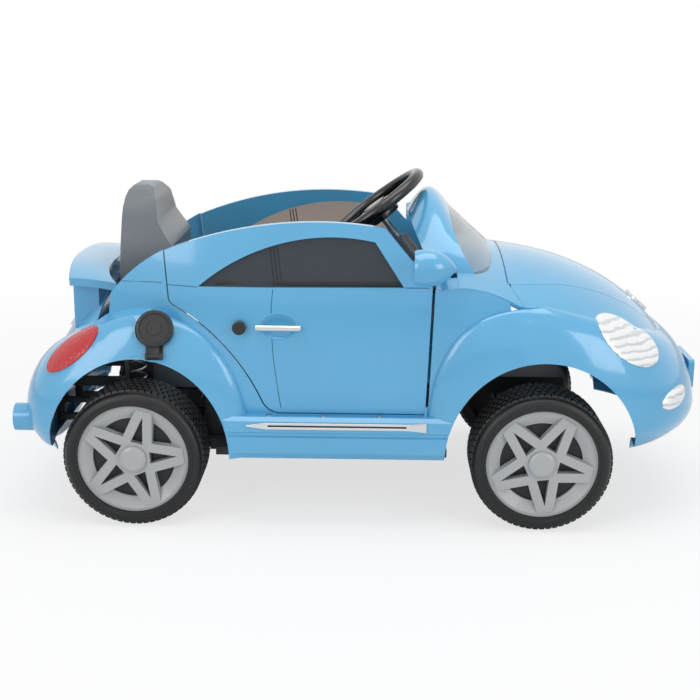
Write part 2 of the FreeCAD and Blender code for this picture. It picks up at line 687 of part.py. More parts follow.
def lamp_dome(spec, below):
    """Ball whose cap closes a lamp's opening, drawn in below the lens's face."""
    normal = Vector(*spec[1]).normalize()
    radius = size.dome_lens_radius
    return Part.makeSphere(radius - below, Vector(*spec[0]) + normal * (size.lens_apex - radius))


def domed_lens(spec):
    centre, direction, long_axis, half_long, half_short = spec
    plug = oblique_prism(Vector(*centre), direction, long_axis, half_long - size.lens_gap, half_short - size.lens_gap,
                         -size.lamp_depth, 40)
    return plug.common(lamp_dome(spec, 0)).cut(lamp_dome(spec, size.lens_depth))


def lamp_bowl(spec):
    centre, direction, long_axis, half_long, half_short = spec
    floor = -size.lamp_depth - 8
    body = oblique_prism(Vector(*centre), direction, long_axis, half_long - size.lens_gap, half_short - size.lens_gap,
                         floor, 40)
    room = oblique_prism(Vector(*centre), direction, long_axis, half_long - size.lamp_wall,
                         half_short - size.lamp_wall, floor + size.lamp_wall, 60)
    return body.common(lamp_dome(spec, size.lens_depth + size.lens_gap)).cut(room)


def pair(shape):
    return solid(Part.makeCompound(both(shape)))


keep(pair(domed_lens(HEAD_LAMP)), "headlight_lenses")
keep(pair(max(lamp_bowl(HEAD_LAMP).Solids, key=lambda s: s.Volume)), "headlight_bowls")
keep(pair(lens(True, FOG_LAMP)), "fog_lenses")
keep(pair(lens(False, TAIL_LAMP)), "tail_lenses")


def badge(place, ahead, under):
    normal = (place(ahead[0] + 0.01, ahead[1]) - place(ahead[0], ahead[1])).cross(
        place(ahead[0], ahead[1] + 0.01) - place(ahead[0], ahead[1])).normalize()
    if normal.z < 0:
        normal = -normal
    spot = place(*ahead)
    disc = Part.makeCylinder(size.badge_radius, size.badge_proud + 6, spot - normal * 6, normal)
    return max(disc.cut(under).Solids, key=lambda s: s.Volume)


dome_block = sheet_solid(dome_point, spread(140, 514, 36), spread(-1, 1, 31), 0, 30, under_bonnet)
deck_block = sheet_solid(deck_point, [math.radians(a) for a in spread(-96, 96, 49)], spread(0.3, 1, 17), 0, 24,
                         Vector(-300, 0, 100))
badges = Part.makeCompound([badge(dome_point, (478, 0), dome_block), badge(deck_point, (0.0, 0.76), deck_block)])
keep(solid(badges), "badges")

# Doors, each a flank panel with a window, a handle and a latch knob.
door_sheet = sheet_solid(flank_point, spread(-336, 126, 30), spread(178, 512, 20), 0, size.door_thickness, middle)
window_sheet = sheet_solid(flank_point, spread(-336, 126, 30), spread(178, 512, 20), size.window_depth,
                           size.window_depth + size.window_thickness, middle)
knob_bore = Part.makeCylinder(size.knob_stem + size.running_clearance, 80,
                              Vector(size.knob_x, -200, size.knob_z), Vector(0, -1, 0))
dish = Part.makeSphere(1).transformGeometry(FreeCAD.Matrix(
    28, 0, 0, size.handle_x, 0, 9, 0, -flank(size.handle_x, size.handle_z) - 1, 0, 0, 21, size.handle_z))
hinge_pin = Part.makeCylinder(size.hinge_pin_radius, size.hinge_depth + 14,
                              Vector(size.hinge_x, -size.hinge_half, size.sill_top - size.hinge_depth + 1))
door = door_sheet.common(side_prism(door_wire, -320, -150)).cut(side_prism(window_wire, -320, -150))
door = door.cut(dish).cut(knob_bore).fuse(hinge_pin)
window = window_sheet.common(side_prism(window_wire, -320, -150))
handle_y = -flank(size.handle_x, size.handle_z) - size.handle_reach + size.handle_radius
bar_from = Vector(size.handle_x - size.handle_length / 2, handle_y, size.handle_z)
bar = Part.makeCylinder(size.handle_radius, size.handle_length, bar_from, Vector(1, 0, 0))
foot_radius = size.handle_radius - 1
feet = []
for share in (0.1, 0.9):
    foot_from = bar_from + Vector(share * size.handle_length, 0, 0)
    door_face = max(flank(foot_from.x + side * foot_radius, size.handle_z + rise * foot_radius)
                    for side in (-1, 1) for rise in (-1, 1))
    feet.append(Part.makeCylinder(foot_radius, -door_face - handle_y, foot_from, Vector(0, 1, 0)))
handle = bar.fuse(feet)
knob_face = -flank(size.knob_x, size.knob_z) - size.knob_gap
knob_tip = Vector(size.knob_x, knob_face - size.knob_height, size.knob_z)
knob = Part.makeCylinder(size.knob_radius, size.knob_height, knob_tip, Vector(0, 1, 0))
knob_back = size.knob_height + size.knob_gap + size.door_thickness + size.knob_back_gap
knob = knob.fuse(Part.makeCylinder(size.knob_stem, knob_back + 2, knob_tip, Vector(0, 1, 0)))
knob = knob.fuse(Part.makeCylinder(size.knob_radius - 2, 4, knob_tip + Vector(0, knob_back, 0), Vector(0, 1, 0)))
for side, sign in SIDES.items():
    for name, shape in (("door", door), ("window", window), ("door_handle", handle), ("latch_knob", knob)):
        keep(solid(shape if sign < 0 else flip(shape)), f"{name}_{side}")

# Windscreen: a raked hoop over the cowl, a clear pane and the pane's rim.
def hoop_point(turn, share):
    """Hoop from the right foot (-1) over the top (0) to the left foot (1), rear edge 0 and front edge 1."""
    angle = RIGHT * turn
    rise = size.hoop_rear_rise + (size.hoop_front_rise - size.hoop_rear_rise) * share
    rise += size.hoop_crown * math.sin(math.pi * share) * math.cos(angle) ** 2
    y = size.hoop_half * math.sin(angle)
    up = math.cos(angle)
    rear_x = size.hoop_rear_x - size.hoop_rear_rake * size.hoop_rear_rise * up
    front_x = size.hoop_front_x - size.hoop_front_rake * size.hoop_front_rise * up + size.hoop_bow * up ** 3
    return Vector(rear_x + (front_x - rear_x) * share, y, size.hoop_base + rise * up)


def pane_point(turn, share):
    """Pane from its foot on the cowl (0) to the front edge of the hoop (1)."""
    y = size.hoop_half * math.sin(RIGHT * turn)
    foot_x = size.pane_foot_x - size.pane_foot_sweep * abs(y / size.hoop_half) ** 6
    foot = Vector(foot_x, y, dome_z(foot_x, y) - 2)
    return foot + (hoop_point(turn, 1) - foot) * share


cabin_side = Vector(90, 0, 380)
turns = spread(-1, 1, 41)
inner_turns = spread(-0.94, 0.94, 35)
hoop = sheet_solid(hoop_point, turns, spread(0, 1, 11), 0, size.hoop_wall, cabin_side)
rim_share = 0.14
pane_rim = sheet_solid(pane_point, inner_turns, spread(-0.04, rim_share, 5), -3, 4, cabin_side)
below_dash = block(0, 300, -400, 400, 300, size.dash_top)
frame = hoop.fuse(pane_rim).cut(dome_block).cut(below_dash)
frame = max(frame.Solids, key=lambda s: s.Volume)
pane = sheet_solid(pane_point, spread(-0.84, 0.84, 33), spread(rim_share, 1, 9), 0, size.pane_thickness,
                   cabin_side)
cowl_block = sheet_solid(dome_point, spread(140, 300, 17), spread(-1, 1, 31), -0.3, 30, under_bonnet)
pane = max(pane.cut(cowl_block).Solids, key=lambda s: s.Volume)
keep(solid(frame), "windscreen_frame")
keep(solid(pane), "windscreen_pane")

# Mirrors: rounded housings on stalks from the windscreen's feet.
glass_x = size.mirror_x - size.mirror_length
mirror_wire = path((glass_x, size.mirror_z), [
    (glass_x, size.mirror_z + size.mirror_height - 3),
    ((glass_x + 16, size.mirror_z + size.mirror_height), (glass_x + 46, size.mirror_z + 0.7 * size.mirror_height),
     (glass_x + 65, size.mirror_z)),
    (glass_x, size.mirror_z)])
housing = Part.Face(mirror_wire).revolve(Vector(0, 0, size.mirror_z), Vector(1, 0, 0), 360)
housing.translate(Vector(0, -size.mirror_half, 0))
glass = Part.makeCylinder(size.mirror_height - 6, size.mirror_glass, Vector(glass_x, -size.mirror_half, size.mirror_z),
                          Vector(1, 0, 0))
hoop_block = sheet_solid(hoop_point, turns, spread(0, 1, 11), 0, 40, cabin_side)
stalk = Part.makeCylinder(size.stalk_radius, size.mirror_half - 150,
                          Vector(size.mirror_x + 12, -size.mirror_half, size.mirror_z - 6), Vector(0, 1, 0))
stalk = max(stalk.cut(hoop_block).Solids, key=lambda s: s.Volume)
keep(pair(housing.fuse(stalk).cut(glass)), "mirror_housings")
keep(pair(glass), "mirror_glasses")

# Spoiler on a fairing that rises from the deck.
def spoiler_point(x_share, y):
    bow = (y / size.spoiler_half) ** 2
    front = size.spoiler_front - size.spoiler_notch * (1 - bow * bow)
    x = front + (size.spoiler_rear + 18 * bow - front) * x_share
    z = size.spoiler_z - size.spoiler_droop * bow * abs(y / size.spoiler_half) - 8 * (1 - x_share) ** 2
    return Vector(x, y, z)


wing_plate = sheet_solid(spoiler_point, spread(0, 1, 9), spread(-size.spoiler_half, size.spoiler_half, 25), 0,
                         size.spoiler_thickness, Vector(-450, 0, 0))
above_plate = sheet_solid(spoiler_point, spread(0, 1, 9), spread(-size.spoiler_half, size.spoiler_half, 25), -40,
                          size.spoiler_thickness / 2, Vector(-450, 0, 0))
fairing = block(-482, -440, -146, 146, 290, size.spoiler_z - 2).cut(above_plate)
spoiler = wing_plate.fuse(fairing).cut(deck_block)
spoiler = max(spoiler.Solids, key=lambda s: s.Volume)
keep(solid(spoiler), "rear_spoiler")

# Charging port behind the right door, its cap on a strap hinge below it.
base = Part.makeCylinder(size.cap_radius - 2, 3)
base = base.fuse(block(-ear_gap - 4, ear_gap + 4, -strap_end - 5, -10, 0, 3))
for side in (-1, 1):
    ear = block(min(side * ear_gap, side * (ear_gap + 4)), max(side * ear_gap, side * (ear_gap + 4)),
                -strap_end - 5, -strap_end + 5, 0, 11)
    base = base.fuse(ear)
socket = base.fuse(Part.makeCylinder(size.port_radius, size.port_depth, Vector(0, 0, -size.port_depth)))
socket = socket.cut(Part.makeCylinder(size.port_bore, size.port_depth, Vector(0, 0, -size.port_depth + 5)))
pin_z = 7
socket = socket.cut(Part.makeCylinder(2.5 + size.running_clearance, 80, Vector(-40, -strap_end, pin_z), Vector(1, 0, 0)))
cap = Part.makeCylinder(size.cap_radius, size.cap_height, Vector(0, 0, size.cap_lift))
cap = cap.fuse(block(-size.strap_width / 2, size.strap_width / 2, -strap_end, -20, size.cap_lift + 1, size.cap_lift + 5))
cap = cap.fuse(Part.makeCylinder(3.5, size.strap_width, Vector(-size.strap_width / 2, -strap_end, pin_z), Vector(1, 0, 0)))
cap = cap.fuse(Part.makeCylinder(2.5, 2 * ear_gap + 8, Vector(-ear_gap - 4, -strap_end, pin_z), Vector(1, 0, 0)))
keep(solid(port_frame(socket)), "charge_socket")
keep(solid(port_frame(cap)), "charge_cap")

# Seat: pan and back in one hollow moulding, open below.
def seat_block(profile, inset):
    """Block with the seat's side view and its rounded front view, drawn in by an inset."""
    arch = [(0, -125), (7, -92), (22, -50), (45, -18), (80, -3)]
    right = [(f"seat_half - {inset} - {lean}", f"seat_back_top - {inset} + ({drop})") for lean, drop in arch]
    left = [(f"-({across})", up) for across, up in reversed(right)]
    foot = "seat_box_top - 20"
    front_view = [(f"seat_half - {inset}", foot), *right, *left, (f"-(seat_half - {inset})", foot)]
    return common(padded("XZ_Plane", profile, f"2 * (seat_half - {inset})"), padded("YZ_Plane", front_view, "1400"))


seat_base = "seat_box_top"
pan_top = f"{seat_base} + seat_thickness"
seat_outside = seat_block([
    ("seat_box_front + 14", seat_base), ("seat_box_front + 22", f"{seat_base} + seat_thickness / 2"),
    ("seat_box_front + 10", pan_top), ("-320", pan_top), ("-338", f"{pan_top} + 30"),
    ("-322", "seat_back_top - 97"), ("-336", "seat_back_top - 76"), ("-347", "seat_back_top - 58"),
    ("-352", "seat_back_top - 24"), ("-362", "seat_back_top - 6"), ("-374", "seat_back_top"),
    ("-394", "seat_back_top"), ("-403", "seat_back_top - 10"), ("-407", "seat_back_top - 34"),
    ("-409", "seat_back_top - 147"), ("-407", seat_base)], "0")
seat_inside = seat_block([
    ("seat_box_front + 6", f"{seat_base} - 1"), ("seat_box_front + 6", f"{pan_top} - seat_wall"),
    ("-323", f"{pan_top} - seat_wall"), ("-343", f"{pan_top} + 29"), ("-327", "seat_back_top - 98"),
    ("-340", "seat_back_top - 80"), ("-352", "seat_back_top - 59"), ("-357", "seat_back_top - 26"),
    ("-366", "seat_back_top - 10"), ("-376", "seat_back_top - seat_wall"),
    ("-391", "seat_back_top - seat_wall"), ("-398", "seat_back_top - 14"), ("-402", "seat_back_top - 35"),
    ("-404", "seat_back_top - 147"), ("-402", f"{seat_base} - 1")], "seat_wall")
keep(cut(seat_outside, seat_inside), "seat")

# Chassis: floor tray, toe board, seat box, rear ladder, spring brackets and front spine.
def sided(x0, x1, near, far, z0, z1):
    """A box on each side of the car, from its near to its far distance from the middle."""
    return [box(x0, x1, near, far, z0, z1), box(x0, x1, f"-({far})", f"-({near})", z0, z1)]


def cross_hole(radius, x, z):
    """Bore through the whole width of the car."""
    return cylinder(radius, "2 * floor_half", (x, -size.floor_half, z), (0, 1, 0))


shelf_under = "seat_box_top - plate_wall"
seat_box = cut(
    box("tub_rear", "seat_box_front", "-seat_box_half", "seat_box_half", "sill_bottom", "seat_box_top"),
    box("tub_rear - 1", "seat_box_front - plate_wall", "-seat_box_half + plate_wall", "seat_box_half - plate_wall",
        "sill_bottom", shelf_under))
ladder = []
for low, high in (("seat_box_top - 12", "seat_box_top"), ("ladder_middle", "ladder_middle + 8"),
                  ("ladder_bottom", "ladder_bottom + 10")):
    ladder += sided("rail_rear", "shelf_rear", "rail_half - rail_width", "rail_half", low, high)
for start in ("rail_rear", "shelf_rear - rail_width"):
    ladder += sided(start, f"{start} + rail_width", "rail_half - rail_width", "rail_half", "ladder_bottom", "seat_box_top")
ladder.append(box("rail_rear", "rail_rear + rail_width", "-rail_half", "rail_half", shelf_under, "seat_box_top"))
bracket_span = ("spring_x - bracket_reach", "spring_x + bracket_reach")
brackets = sided(*bracket_span, "shelf_half - 5", "bracket_half + bracket_wall", shelf_under, "seat_box_top")
brackets += sided(*bracket_span, "bracket_half", "bracket_half + bracket_wall", shelf_under, "spring_top + plate_wall")
brackets += sided(*bracket_span, "bracket_half", "spring_half + spring_pad", "spring_top", "spring_top + plate_wall")
pivot_lugs = sided("pivot_x - lug_radius", "pivot_x + lug_radius", "lug_half - lug_width", "lug_half",
                   "pivot_z - lug_radius", "floor_bottom + 1")
pedal_z = size.sill_bottom + size.pedal_lift
pedal_lugs = [box("pedal_x - 7", "pedal_x + 7", f"pedal_y + {side} * (pedal_width / 2 + pedal_lug / 2 + seat_gap) - pedal_lug / 2",
                  f"pedal_y + {side} * (pedal_width / 2 + pedal_lug / 2 + seat_gap) + pedal_lug / 2",
                  "sill_bottom - 1", "sill_bottom + pedal_lift + 7") for side in (-1, 1)]
spine = cut(
    box("tub_front - 1", "spine_front", "-spine_half", "spine_half", "spine_bottom", "spine_top"),
    box("shaft_end_x - 56", "shaft_end_x - 2", "-shaft_radius - 4", "shaft_radius + 4", "spine_bottom - 1", "spine_top + 1"))
chassis = fuse(
    box("tub_rear", "tub_front", "-floor_half", "floor_half", "floor_bottom", "sill_bottom"),
    box("tub_front - plate_wall", "tub_front", "-floor_half + 20", "floor_half - 20", "sill_bottom - 1", "toe_top"),
    seat_box, box("shelf_rear - 1", "tub_rear + 1", "-shelf_half", "shelf_half", shelf_under, "seat_box_top"),
    spine, *ladder, *brackets, *pivot_lugs, *pedal_lugs)
pedal_hole = cylinder("pedal_pin + running_clearance", "pedal_width + 4 * pedal_lug",
                      (size.pedal_x, size.pedal_y - size.pedal_width / 2 - 2 * size.pedal_lug, pedal_z), (0, 1, 0))
wheel_room = sided("tub_rear - 1", "rear_axle_x + wheel_radius + 12", "half_track - wheel_width / 2 - 12",
                   "floor_half + 1", "floor_bottom - 1", "sill_bottom + 1")
pivot_hole = cross_hole("pivot_radius + running_clearance", size.pivot_x, size.pivot_z)
keep(cut(chassis, pivot_hole, pedal_hole, *wheel_room), "chassis")
keep(box("tub_rear + 10", "tub_rear + 10 + battery_length", "-battery_width / 2", "battery_width / 2",
         "sill_bottom", "sill_bottom + battery_height"), "battery")
keep(box("tub_front", "tub_front + box_height", "box_y", "box_y + box_width", "box_z", "box_z + box_length"), "control_box")

# Front axle: a beam under the spine, with a steering knuckle on each kingpin.
bosses = [cylinder("boss_radius", "spine_bottom - beam_bottom", (size.front_axle_x, side * size.kingpin_half, size.beam_bottom))
          for side in SIDES.values()]
kingpin_holes = [cylinder("axle_radius + running_clearance", "4 * boss_radius",
                          (size.front_axle_x, side * size.kingpin_half, size.beam_bottom - size.boss_radius))
                 for side in SIDES.values()]
beam = box("front_axle_x - beam_width / 2", "front_axle_x + beam_width / 2", "-kingpin_half", "kingpin_half",
           "beam_bottom", "spine_bottom")
keep(cut(fuse(beam, *bosses), *kingpin_holes), "front_axle_beam")

hub_inner = size.half_track - size.hub_length / 2
hub_outer = size.half_track + size.hub_length / 2 + size.seat_gap
kingpin = (size.front_axle_x, -size.kingpin_half)
outward = (0, -1, 0)
tie_pin_x = size.front_axle_x - size.arm_length
knuckle = fuse(
    cylinder("axle_radius", "spine_bottom + kingpin_head_height - wheel_radius", (*kingpin, size.wheel_radius)),
    cylinder("kingpin_head", "kingpin_head_height", (*kingpin, size.spine_bottom + size.seat_gap)),
    cylinder("boss_radius - 3", "beam_bottom - seat_gap - wheel_radius", (*kingpin, size.wheel_radius)),
    cylinder("boss_radius - 4", "half_track - hub_length / 2 - seat_gap - kingpin_half + boss_radius",
             (size.front_axle_x, -size.kingpin_half + size.boss_radius, size.wheel_radius), outward),
    cylinder("axle_radius", "half_track + hub_length / 2 + seat_gap + nut_height - kingpin_half",
             (*kingpin, size.wheel_radius), outward),
    cylinder("nut_radius", "nut_height", (size.front_axle_x, -hub_outer, size.wheel_radius), outward),
    box("front_axle_x - arm_length - arm_bar / 2", "front_axle_x", "-kingpin_half - arm_bar / 2",
        "-kingpin_half + arm_bar / 2", "arm_z", "arm_z + arm_height"),
    cylinder("tie_pin_radius", "tie_rod_z + tie_rod_thickness + 4 - arm_z", (tie_pin_x, -size.kingpin_half, size.arm_z)))
keep(knuckle, "knuckle_right")
keep(mirrored(knuckle), "knuckle_left")

# Steering: wheel, shaft with its crank pin, and the tie rod the pin carries from side to side.
steer_low = Vector(size.shaft_end_x, 0, size.shaft_end_z)
steer_hub = Vector(size.wheel_hub_x, 0, size.wheel_hub_z)
steer_axis = (steer_hub - steer_low).normalize()
crank_way = Vector(-steer_axis.z, 0, steer_axis.x)
crank_end = steer_low + crank_way * size.crank_radius
shaft_length = "sqrt((shaft_end_x - wheel_hub_x)^2 + (wheel_hub_z - shaft_end_z)^2) - steer_hub_depth"
keep(fuse(cylinder("shaft_radius", shaft_length, steer_low, steer_axis),
          cylinder("shaft_radius", "crank_radius + 4", steer_low, crank_way),
          cylinder("crank_pin", "crank_pin_length", crank_end, -steer_axis)), "steering_shaft")
ring = doc.addObject("Part::Torus", "ring")
bind(ring, Radius1="steer_ring", Radius2="steer_tube")
ring.Placement = Placement(steer_hub, turn_to(steer_axis))
spokes = [cylinder("spoke_radius", "steer_ring", steer_hub - steer_axis * size.spoke_radius / 2, way)
          for way in (Vector(0, 1, 0), Vector(0, -1, 0), crank_way)]
hub = cylinder("steer_hub", "steer_hub_depth", steer_hub - steer_axis * size.steer_hub_depth, steer_axis)
horn_room = cylinder("horn_radius + running_clearance", "2 * horn_height", steer_hub - steer_axis * size.horn_height, steer_axis)
keep(cut(fuse(ring, hub, *spokes), horn_room), "steering_wheel")
horn_low = steer_hub - steer_axis * (size.horn_height - size.horn_travel - size.seat_gap)
keep(cylinder("horn_radius", "horn_height", horn_low, steer_axis), "horn_button")
column_low = steer_hub - steer_axis * (size.column_start + size.column_length)
column = cylinder("column_radius", "column_length", column_low, steer_axis)
keep(cut(column, cylinder("shaft_radius + running_clearance", "3 * column_length",
                          column_low - steer_axis * size.column_length, steer_axis)), "column_cover")

tie_x = "front_axle_x - arm_length"
tie_level = ("tie_rod_z", "tie_rod_z + tie_rod_thickness")
tie_bar = fuse(
    box(f"{tie_x} - tie_rod_width / 2", f"{tie_x} + tie_rod_width / 2", "-kingpin_half - 10", "kingpin_half + 10", *tie_level),
    box(f"{tie_x} - 10", f"{tie_x} + 30", "-16", "16", *tie_level))
slots = [box(f"{tie_x} - tie_pin_radius - 0.8", f"{tie_x} + tie_pin_radius + 3.2",
             f"{side} * kingpin_half - tie_pin_radius - tie_slot_play", f"{side} * kingpin_half + tie_pin_radius + tie_slot_play",
             "tie_rod_z - 1", "tie_rod_z + tie_rod_thickness + 1") for side in SIDES.values()]
slots.append(box(f"{tie_x} + 1", f"{tie_x} + 24", "-crank_pin - tie_slot_play", "crank_pin + tie_slot_play",
                 "tie_rod_z - 1", "tie_rod_z + tie_rod_thickness + 1"))
keep(cut(tie_bar, *slots), "tie_rod")

# Wheels: hollow tyre and web, star-shaped rim cover in the outer recess, hub cap over the axle end.
def wheel_spot(centre, radius, degrees):
    angle = math.radians(degrees)
    return centre + Vector(radius * math.cos(angle), 0, radius * math.sin(angle))


def star(centre, turn, sign):
    """Five arms that stand up from the dish of a rim cover."""
    level = centre + Vector(0, sign * (size.wheel_width / 2 - size.rim_recess), 0)
    corners = []
    for k in range(5):
        for radius, lean in ((size.star_crotch, -36), (size.star_tip, -9), (size.star_tip, 9)):
            corners.append(wheel_spot(level, radius, turn + 72 * k + lean))
    arms = Part.Face(Part.makePolygon(corners + corners[:1])).extrude(Vector(0, sign * size.rim_thickness, 0))
    hub_room = Part.makeCylinder(size.hub_cap_radius + 5, 2 * size.wheel_width,
                                 level - Vector(0, size.wheel_width, 0), Vector(0, 1, 0))
    return solid(arms.cut(hub_room))


def star_windows(centre, turn):
    """Five kite windows between the arms and five slim ones inside them."""
    level = centre - Vector(0, size.wheel_width, 0)
    tools = []
    for k in range(5):
        arm = turn + 72 * k
        gap = arm + 36
        apex = wheel_spot(level, size.star_crotch, gap)
        near, crown, far = [wheel_spot(level, size.kite_radius, gap + lean) for lean in (-20, 0, 20)]
        kite = Part.Wire([Part.Arc(near, crown, far).toShape(), Part.LineSegment(far, apex).toShape(),
                          Part.LineSegment(apex, near).toShape()])
        tip = wheel_spot(level, size.slit_tip, arm)
        heel = [wheel_spot(level, size.slit_heel, arm + lean) for lean in (-20, 20)]
        slim = Part.makePolygon([tip, *heel, tip])
        tools += [Part.Face(wire).extrude(Vector(0, 2 * size.wheel_width, 0)) for wire in (kite, slim)]
    return solid(Part.makeCompound(tools))


def wheel_points(sign):
    half = f"{sign} * wheel_width / 2"
    floor = f"{sign} * (wheel_width / 2 - rim_recess)"
    web = f"{sign} * (wheel_width / 2 - rim_recess - web_thickness)"
    bore = "axle_radius + running_clearance"
    return [(f"{sign} * -hub_length / 2", bore), (f"{sign} * hub_length / 2", bore), (f"{sign} * hub_length / 2", "hub_radius"),
            (floor, "hub_radius"), (floor, "rim_radius"), (half, "rim_radius + 2"),
            (half, "wheel_radius - tyre_shoulder"), (f"{sign} * (wheel_width / 2 - tyre_shoulder / 2)", "wheel_radius"),
            (f"{sign} * (-wheel_width / 2 + tyre_shoulder / 2)", "wheel_radius"),
            (f"{sign} * -wheel_width / 2", "wheel_radius - tyre_shoulder"), (f"{sign} * -wheel_width / 2", "drum_radius"),
            (web, "drum_radius"), (web, "hub_radius"), (f"{sign} * -hub_length / 2", "hub_radius")]


def rim_points(sign):
    def at(depth):
        return f"{sign} * (wheel_width / 2 - rim_recess + {depth})"
    return [(at("0"), "hub_radius + rim_seat_clearance"), (at("4"), "hub_radius + rim_seat_clearance"),
            (at("4"), "nut_radius + 4"), (at("rim_thickness"), "nut_radius + 4"),
            (at("rim_thickness"), "hub_cap_radius + 6"), (at("rim_thickness - dish_depth"), "hub_cap_radius + 12"),
            (at("rim_thickness - dish_depth"), "dish_radius"), (at("rim_thickness"), "rim_radius - 5"),
            (at("rim_thickness"), "rim_radius"), (at("0"), "rim_radius")]


def cap_points(sign):
    def at(depth):
        return f"{sign} * (wheel_width / 2 - rim_recess + rim_thickness + {depth})"
    return [(at("0"), "nut_radius + 2"), (at("0"), "hub_cap_radius"), (at("hub_cap_height - 3"), "hub_cap_radius"),
            (at("hub_cap_height"), "hub_cap_radius - 5"), (at("hub_cap_height"), "0"), (at("hub_cap_height - 3"), "0"),
            (at("hub_cap_height - 3"), "nut_radius + 2")]


STAR_TURN = {"front": -12, "rear": 4}
for end, axle_x in (("front", size.front_axle_x), ("rear", size.rear_axle_x)):
    for side, sign in SIDES.items():
        centre = Vector(axle_x, sign * size.half_track, size.wheel_radius)
        tyre, cover, cap = [revolved(points(sign)) for points in (wheel_points, rim_points, cap_points)]
        for turned in (tyre, cover, cap):
            turned.Placement = Placement(centre, Rotation())
        keep(tyre, f"wheel_{end}_{side}")
        starred = fuse(cover, star(centre, STAR_TURN[end], sign))
        keep(cut(starred, star_windows(centre, STAR_TURN[end])), f"rim_cover_{end}_{side}")
        keep(cap, f"hub_cap_{end}_{side}")

# Rear swing arm: plate on a cross pivot, axle with a gearbox and a motor on each side, coil springs.
plate_under = "pivot_z - arm_thickness / 2"
arm_span = ("rear_axle_x - upright_reach", "rear_axle_x + upright_reach")
swing_arm = fuse(
    box(arm_span[0], "pivot_x", "-arm_half", "arm_half", plate_under, "pivot_z + arm_thickness / 2"),
    cylinder("arm_barrel", "2 * (lug_half - lug_width - seat_gap)",
             (size.pivot_x, -size.lug_half + size.lug_width + size.seat_gap, size.pivot_z), (0, 1, 0)),
    cylinder("pivot_radius", "2 * lug_half", (size.pivot_x, -size.lug_half, size.pivot_z), (0, 1, 0)),
    *sided(*arm_span, "upright_half", "upright_half + upright_width", plate_under, "wheel_radius + upright_reach"))
keep(cut(swing_arm, cross_hole("axle_radius", size.rear_axle_x, size.wheel_radius)), "swing_arm")
axle_end = hub_outer + size.nut_height
nuts = [cylinder("nut_radius", "nut_height", (size.rear_axle_x, sign * hub_outer, size.wheel_radius), (0, sign, 0))
        for sign in SIDES.values()]
keep(fuse(cylinder("axle_radius", "2 * half_track + hub_length + 2 * seat_gap + 2 * nut_height",
                   (size.rear_axle_x, -axle_end, size.wheel_radius), (0, 1, 0)), *nuts), "rear_axle")
gear_from = (-size.gearbox_inner, size.wheel_radius)
gearbox = cut(fuse(
    cylinder("gearbox_radius", "gearbox_outer - gearbox_inner", (size.rear_axle_x, *gear_from), outward),
    cylinder("gear_nose_radius", "gear_nose_length", (size.motor_x, -size.gearbox_inner, size.motor_z), outward),
    cylinder("spring_pad", "spring_base - wheel_radius - gearbox_radius / 2",
             (size.spring_x, -size.spring_half, size.wheel_radius + size.gearbox_radius / 2))),
    cross_hole("axle_radius + seat_gap", size.rear_axle_x, size.wheel_radius))
keep(group(gearbox, mirrored(gearbox)), "gearboxes")
motor = cylinder("motor_radius", "motor_length", (size.motor_x, -size.gearbox_inner, size.motor_z), (0, 1, 0))
keep(group(motor, mirrored(motor)), "motors")


def biarc(start, way_in, end, way_out):
    """Two tangent arcs from one place and heading to another."""
    chord = end - start
    ways = way_in + way_out
    square = ways.dot(ways) - 4
    linear = -2 * chord.dot(ways)
    reach = (-linear - math.sqrt(linear * linear - 4 * square * chord.dot(chord))) / (2 * square)
    if reach < 0:
        reach = (-linear + math.sqrt(linear * linear - 4 * square * chord.dot(chord))) / (2 * square)
    first = start + way_in * reach
    last = end - way_out * reach
    joint = (first + last) * 0.5
    arcs = []
    for near, apex, far in ((start, first, joint), (joint, last, end)):
        middle_point = (near + far) * 0.5
        half_chord = (far - near).Length / 2
        rise = apex - middle_point
        bow = half_chord * math.tan(math.atan2(rise.Length, half_chord) / 2)
        arcs.append(Part.Arc(near, middle_point + rise.normalize() * bow, far).toShape())
    return arcs


def coil(centre, low, high):
    """Coil spring about a vertical line, one tube from its lower to its upper seat."""
    rise = (high - low - 2 * size.spring_wire) / (2 * math.pi * size.spring_turns)

    def place(angle):
        return centre + Vector(size.spring_radius * math.cos(angle), size.spring_radius * math.sin(angle),
                               low + size.spring_wire + rise * angle)

    def heading(angle):
        return Vector(-size.spring_radius * math.sin(angle), size.spring_radius * math.cos(angle), rise).normalize()

    quarter = math.pi / 2
    arcs = []
    for k in range(round(4 * size.spring_turns)):
        arcs += biarc(place(k * quarter), heading(k * quarter), place((k + 1) * quarter), heading((k + 1) * quarter))
    wire = Part.Wire(arcs)
    start = Part.Wire([Part.Circle(place(0), heading(0), size.spring_wire).toShape()])
    return wire.makePipeShell([start], True, False), place


spring, spring_place = coil(Vector(size.spring_x, -size.spring_half, 0), size.spring_base, size.spring_top)
steps = [spring_place(a) for a in spread(0, 2 * math.pi * size.spring_turns, round(48 * size.spring_turns))]
least_gap = min((a - b).Length for i, a in enumerate(steps) for b in steps[i + 30:]) - 2 * size.spring_wire
print(f"least gap between spring turns {least_gap:.1f} mm")
keep(pair(spring), "springs")

